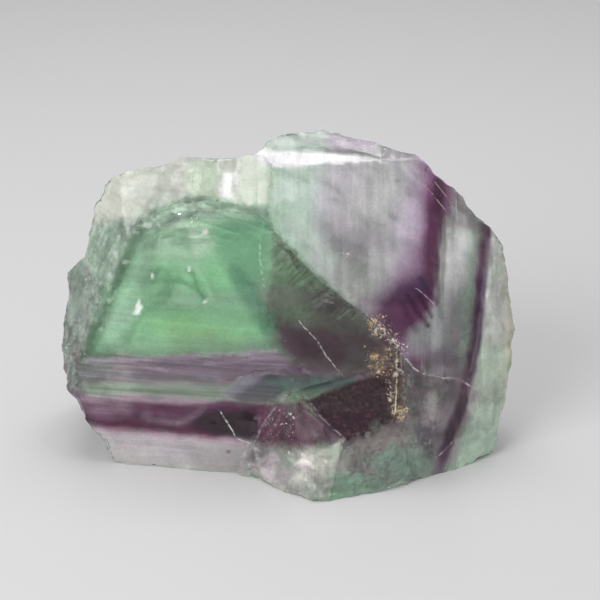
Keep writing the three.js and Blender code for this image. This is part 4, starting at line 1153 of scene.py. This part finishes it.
# How broken the surface is on the front plane: depth (mm), softness (mm), outline (mm).
ROUGH_AREAS = [
    (0.15, 0.8, [(-27, 27), *LEFT_SIDE]),
    (0.04, 0.8, [(-22, 26), (-18, 32), (-10, 33), (-8, 27.2), (-11.6, 26.9), (-14.6, 25.7), (-17.4, 24)]),
    (0.14, 0.5,
     [(-17.4, 24), (-14.6, 25.7), (-9.1, 27.2), (-2.1, 26.1), (-4.9, 24.7), (-9.7, 25), (-13.1, 23.6)]),
    (0.03, 0.6, [(-2.1, 4.1), (1.5, 4.8), (4.8, 0.3), (-3.6, 0)]),
    (0.17, 0.7, [(-3.6, 0.2), (1.5, -0.4), (6.2, 0.2), (5.2, -2.8), (4.6, -8), (-5.3, -5)]),
    (0.14, 1.0, LOWER_RIGHT),
    (0.10, 1.0, [(22.5, 24), (28, 20), (28, -6), (18, -6), (21.5, 6)]),
]
# How strong the clear coat is, and where the surface is too dull for one: share, softness, outline (mm).
COAT = 0.35
DULL_AREAS = [(1.0, 0.5, [(-3, 4.6), (1.5, 5.2), (2.6, 4.9), (6.8, 0.2), (4.8, -0.8), (-3.6, -0.6)])]
# How broken the back is at most and the size of its broken places (mm), and the depth that counts as
# fully broken for the colours (mm).
BACK_ROUGH = 0.06
BACK_ROUGH_SIZE = 9
ROUGHEST = 0.22
# Wavy growth all over and along the sharp edges: size and amount (mm), and how far in the edges reach.
SWAY = (3.0, 0.10)
EDGE_SWAY = (0.9, 0.09)
EDGE_REACH = 1.2
RIPPLE_SIZE = 2
RIPPLE_HEIGHT = 0.012
# Sizes of the coarse and fine splinters (mm), and how high the fine ones are beside the coarse ones.
COARSE_SHARDS = 1.5
FINE_SHARDS = 0.6
FINE_SHARE = 0.6
# Nicks along the sharp edges: size, depth and reach (mm), and how many there are (at 0, half the edge).
NICK_SIZE = 1.3
NICK_DEPTH = 0.16
NICK_REACH = 0.55
NICK_EXCESS = 0.2
# Edges that turn more than this stay crisp.
CRISP_EDGE = math.radians(28)
# Where the little steps of the top bevel are worn round: outline on the front plane, softness, how far
# back (mm), how strongly, and how many times over.
EASED = [(-9.2, 31.3), (-6, 31.3), (-5, 27), (-9.2, 27.2)]
EASED_SOFT = 0.6
EASED_BACK = 5.0
EASING = 0.8
EASING_ROUNDS = 40


def broken_depth(points, front):
    """How deep the splintered relief is at each point (mm)."""
    places = front_plane(points)
    depth = BACK_ROUGH * smoothstep(0.1, 0.8, fractal(points, BACK_ROUGH_SIZE, 5)) * (1 - front)
    for amount, soft, outline in ROUGH_AREAS:
        share = front * patch_share(places, outline, soft)
        depth = depth * (1 - share) + amount * share
    return depth


def weathered(points, normals, depth, worn):
    """The points moved by wavy growth, splinters and nicks; worn is the distance to a sharp edge."""
    sway = wander(points, SWAY, (101, 111, 121))
    sway += smoothstep(EDGE_REACH, 0, worn)[:, None] * wander(points, EDGE_SWAY, (131, 141, 151))
    splinters = shards(points, COARSE_SHARDS, 21) + FINE_SHARE * shards(points, FINE_SHARDS, 41)
    nicks = smoothstep(NICK_REACH, 0, worn) * np.clip(fractal(points, NICK_SIZE, 31) + NICK_EXCESS, 0, 1)
    ripple = RIPPLE_HEIGHT * fractal(points, RIPPLE_SIZE, 11)
    relief = ripple + depth * splinters - NICK_DEPTH * nicks
    moved = points + sway + normals * relief[:, None]
    moved[:, 2] = np.maximum(moved[:, 2], 0)
    return moved


def eased_share(points):
    inside = patch_share(front_plane(points), EASED, EASED_SOFT)
    return EASING * inside * (points[:, 1] < EASED_BACK)


def eased(mesh, points, share, rounds):
    """The points drawn towards the middle of their neighbours, as far as share says."""
    ends = np.zeros(len(mesh.edges) * 2, np.int32)
    mesh.edges.foreach_get("vertices", ends)
    ends = ends.reshape(-1, 2)
    count = np.bincount(ends.ravel(), minlength=len(points))
    for _ in range(rounds):
        means = np.empty_like(points)
        for axis in range(3):
            totals = np.bincount(ends[:, 0], points[ends[:, 1], axis], len(points))
            totals += np.bincount(ends[:, 1], points[ends[:, 0], axis], len(points))
            means[:, axis] = totals / count
        points = points + (means - points) * share[:, None]
    return points


def store(mesh, name, values):
    """A number or a colour for each point of the mesh, for the material to read."""
    kind, field = ("FLOAT", "value") if values.ndim == 1 else ("FLOAT_COLOR", "color")
    mesh.attributes.new(name, kind, "POINT").data.foreach_set(field, values.astype(np.float32).ravel())


def material_layers(points, front, depth):
    """Everything that the material reads at each point, by name."""
    colour, cover, clear, haze = paint_patches(points, front, depth / ROUGHEST)
    colour, cover, clear = paint_strokes(points, front, colour, cover, clear)
    colour, cover, clear = paint_chips(points, front, colour, cover, clear)
    mark, mark_side = paint_marks(points, front)
    layers = {"paint": np.column_stack([colour, cover]), "clear": clear, "haze": haze}
    layers |= {"mark": mark, "mark_side": mark_side, "broken": depth / ROUGHEST}
    layers["coat"] = COAT * (1 - area_share(points, front, DULL_AREAS))
    return layers | {name: area_share(points, front, areas) for name, areas in TEXTURES.items()}


def crystal_mesh():
    """The CAD solid in fine quads, worn and splintered, with the layers that its material reads."""
    solid = merged_copy(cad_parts[NODE])
    mesh = remeshed(solid)
    points = vertex_values(mesh, "co") / MM
    points = eased(mesh, points, eased_share(points), EASING_ROUNDS)
    set_points(mesh, points)
    normals = vertex_values(mesh, "normal")
    front = front_share(normals)
    depth = broken_depth(points, front)
    layers = material_layers(points, front, depth)
    set_points(mesh, weathered(points, normals, depth, edge_distance(solid, points)))
    mesh.shade_smooth()
    mesh.set_sharp_from_angle(angle=CRISP_EDGE)
    for name, values in layers.items():
        store(mesh, name, values)
    return mesh


def build_crystal():
    mesh = crystal_mesh()
    crystal = bpy.data.objects.new("fluorite", mesh)
    bpy.context.scene.collection.objects.link(crystal)
    mesh.materials.clear()
    mesh.materials.append(crystal_material())
    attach(crystal, "root")
    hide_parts(NODE)


add_camera()
add_floor()
add_lights()
build_crystal()
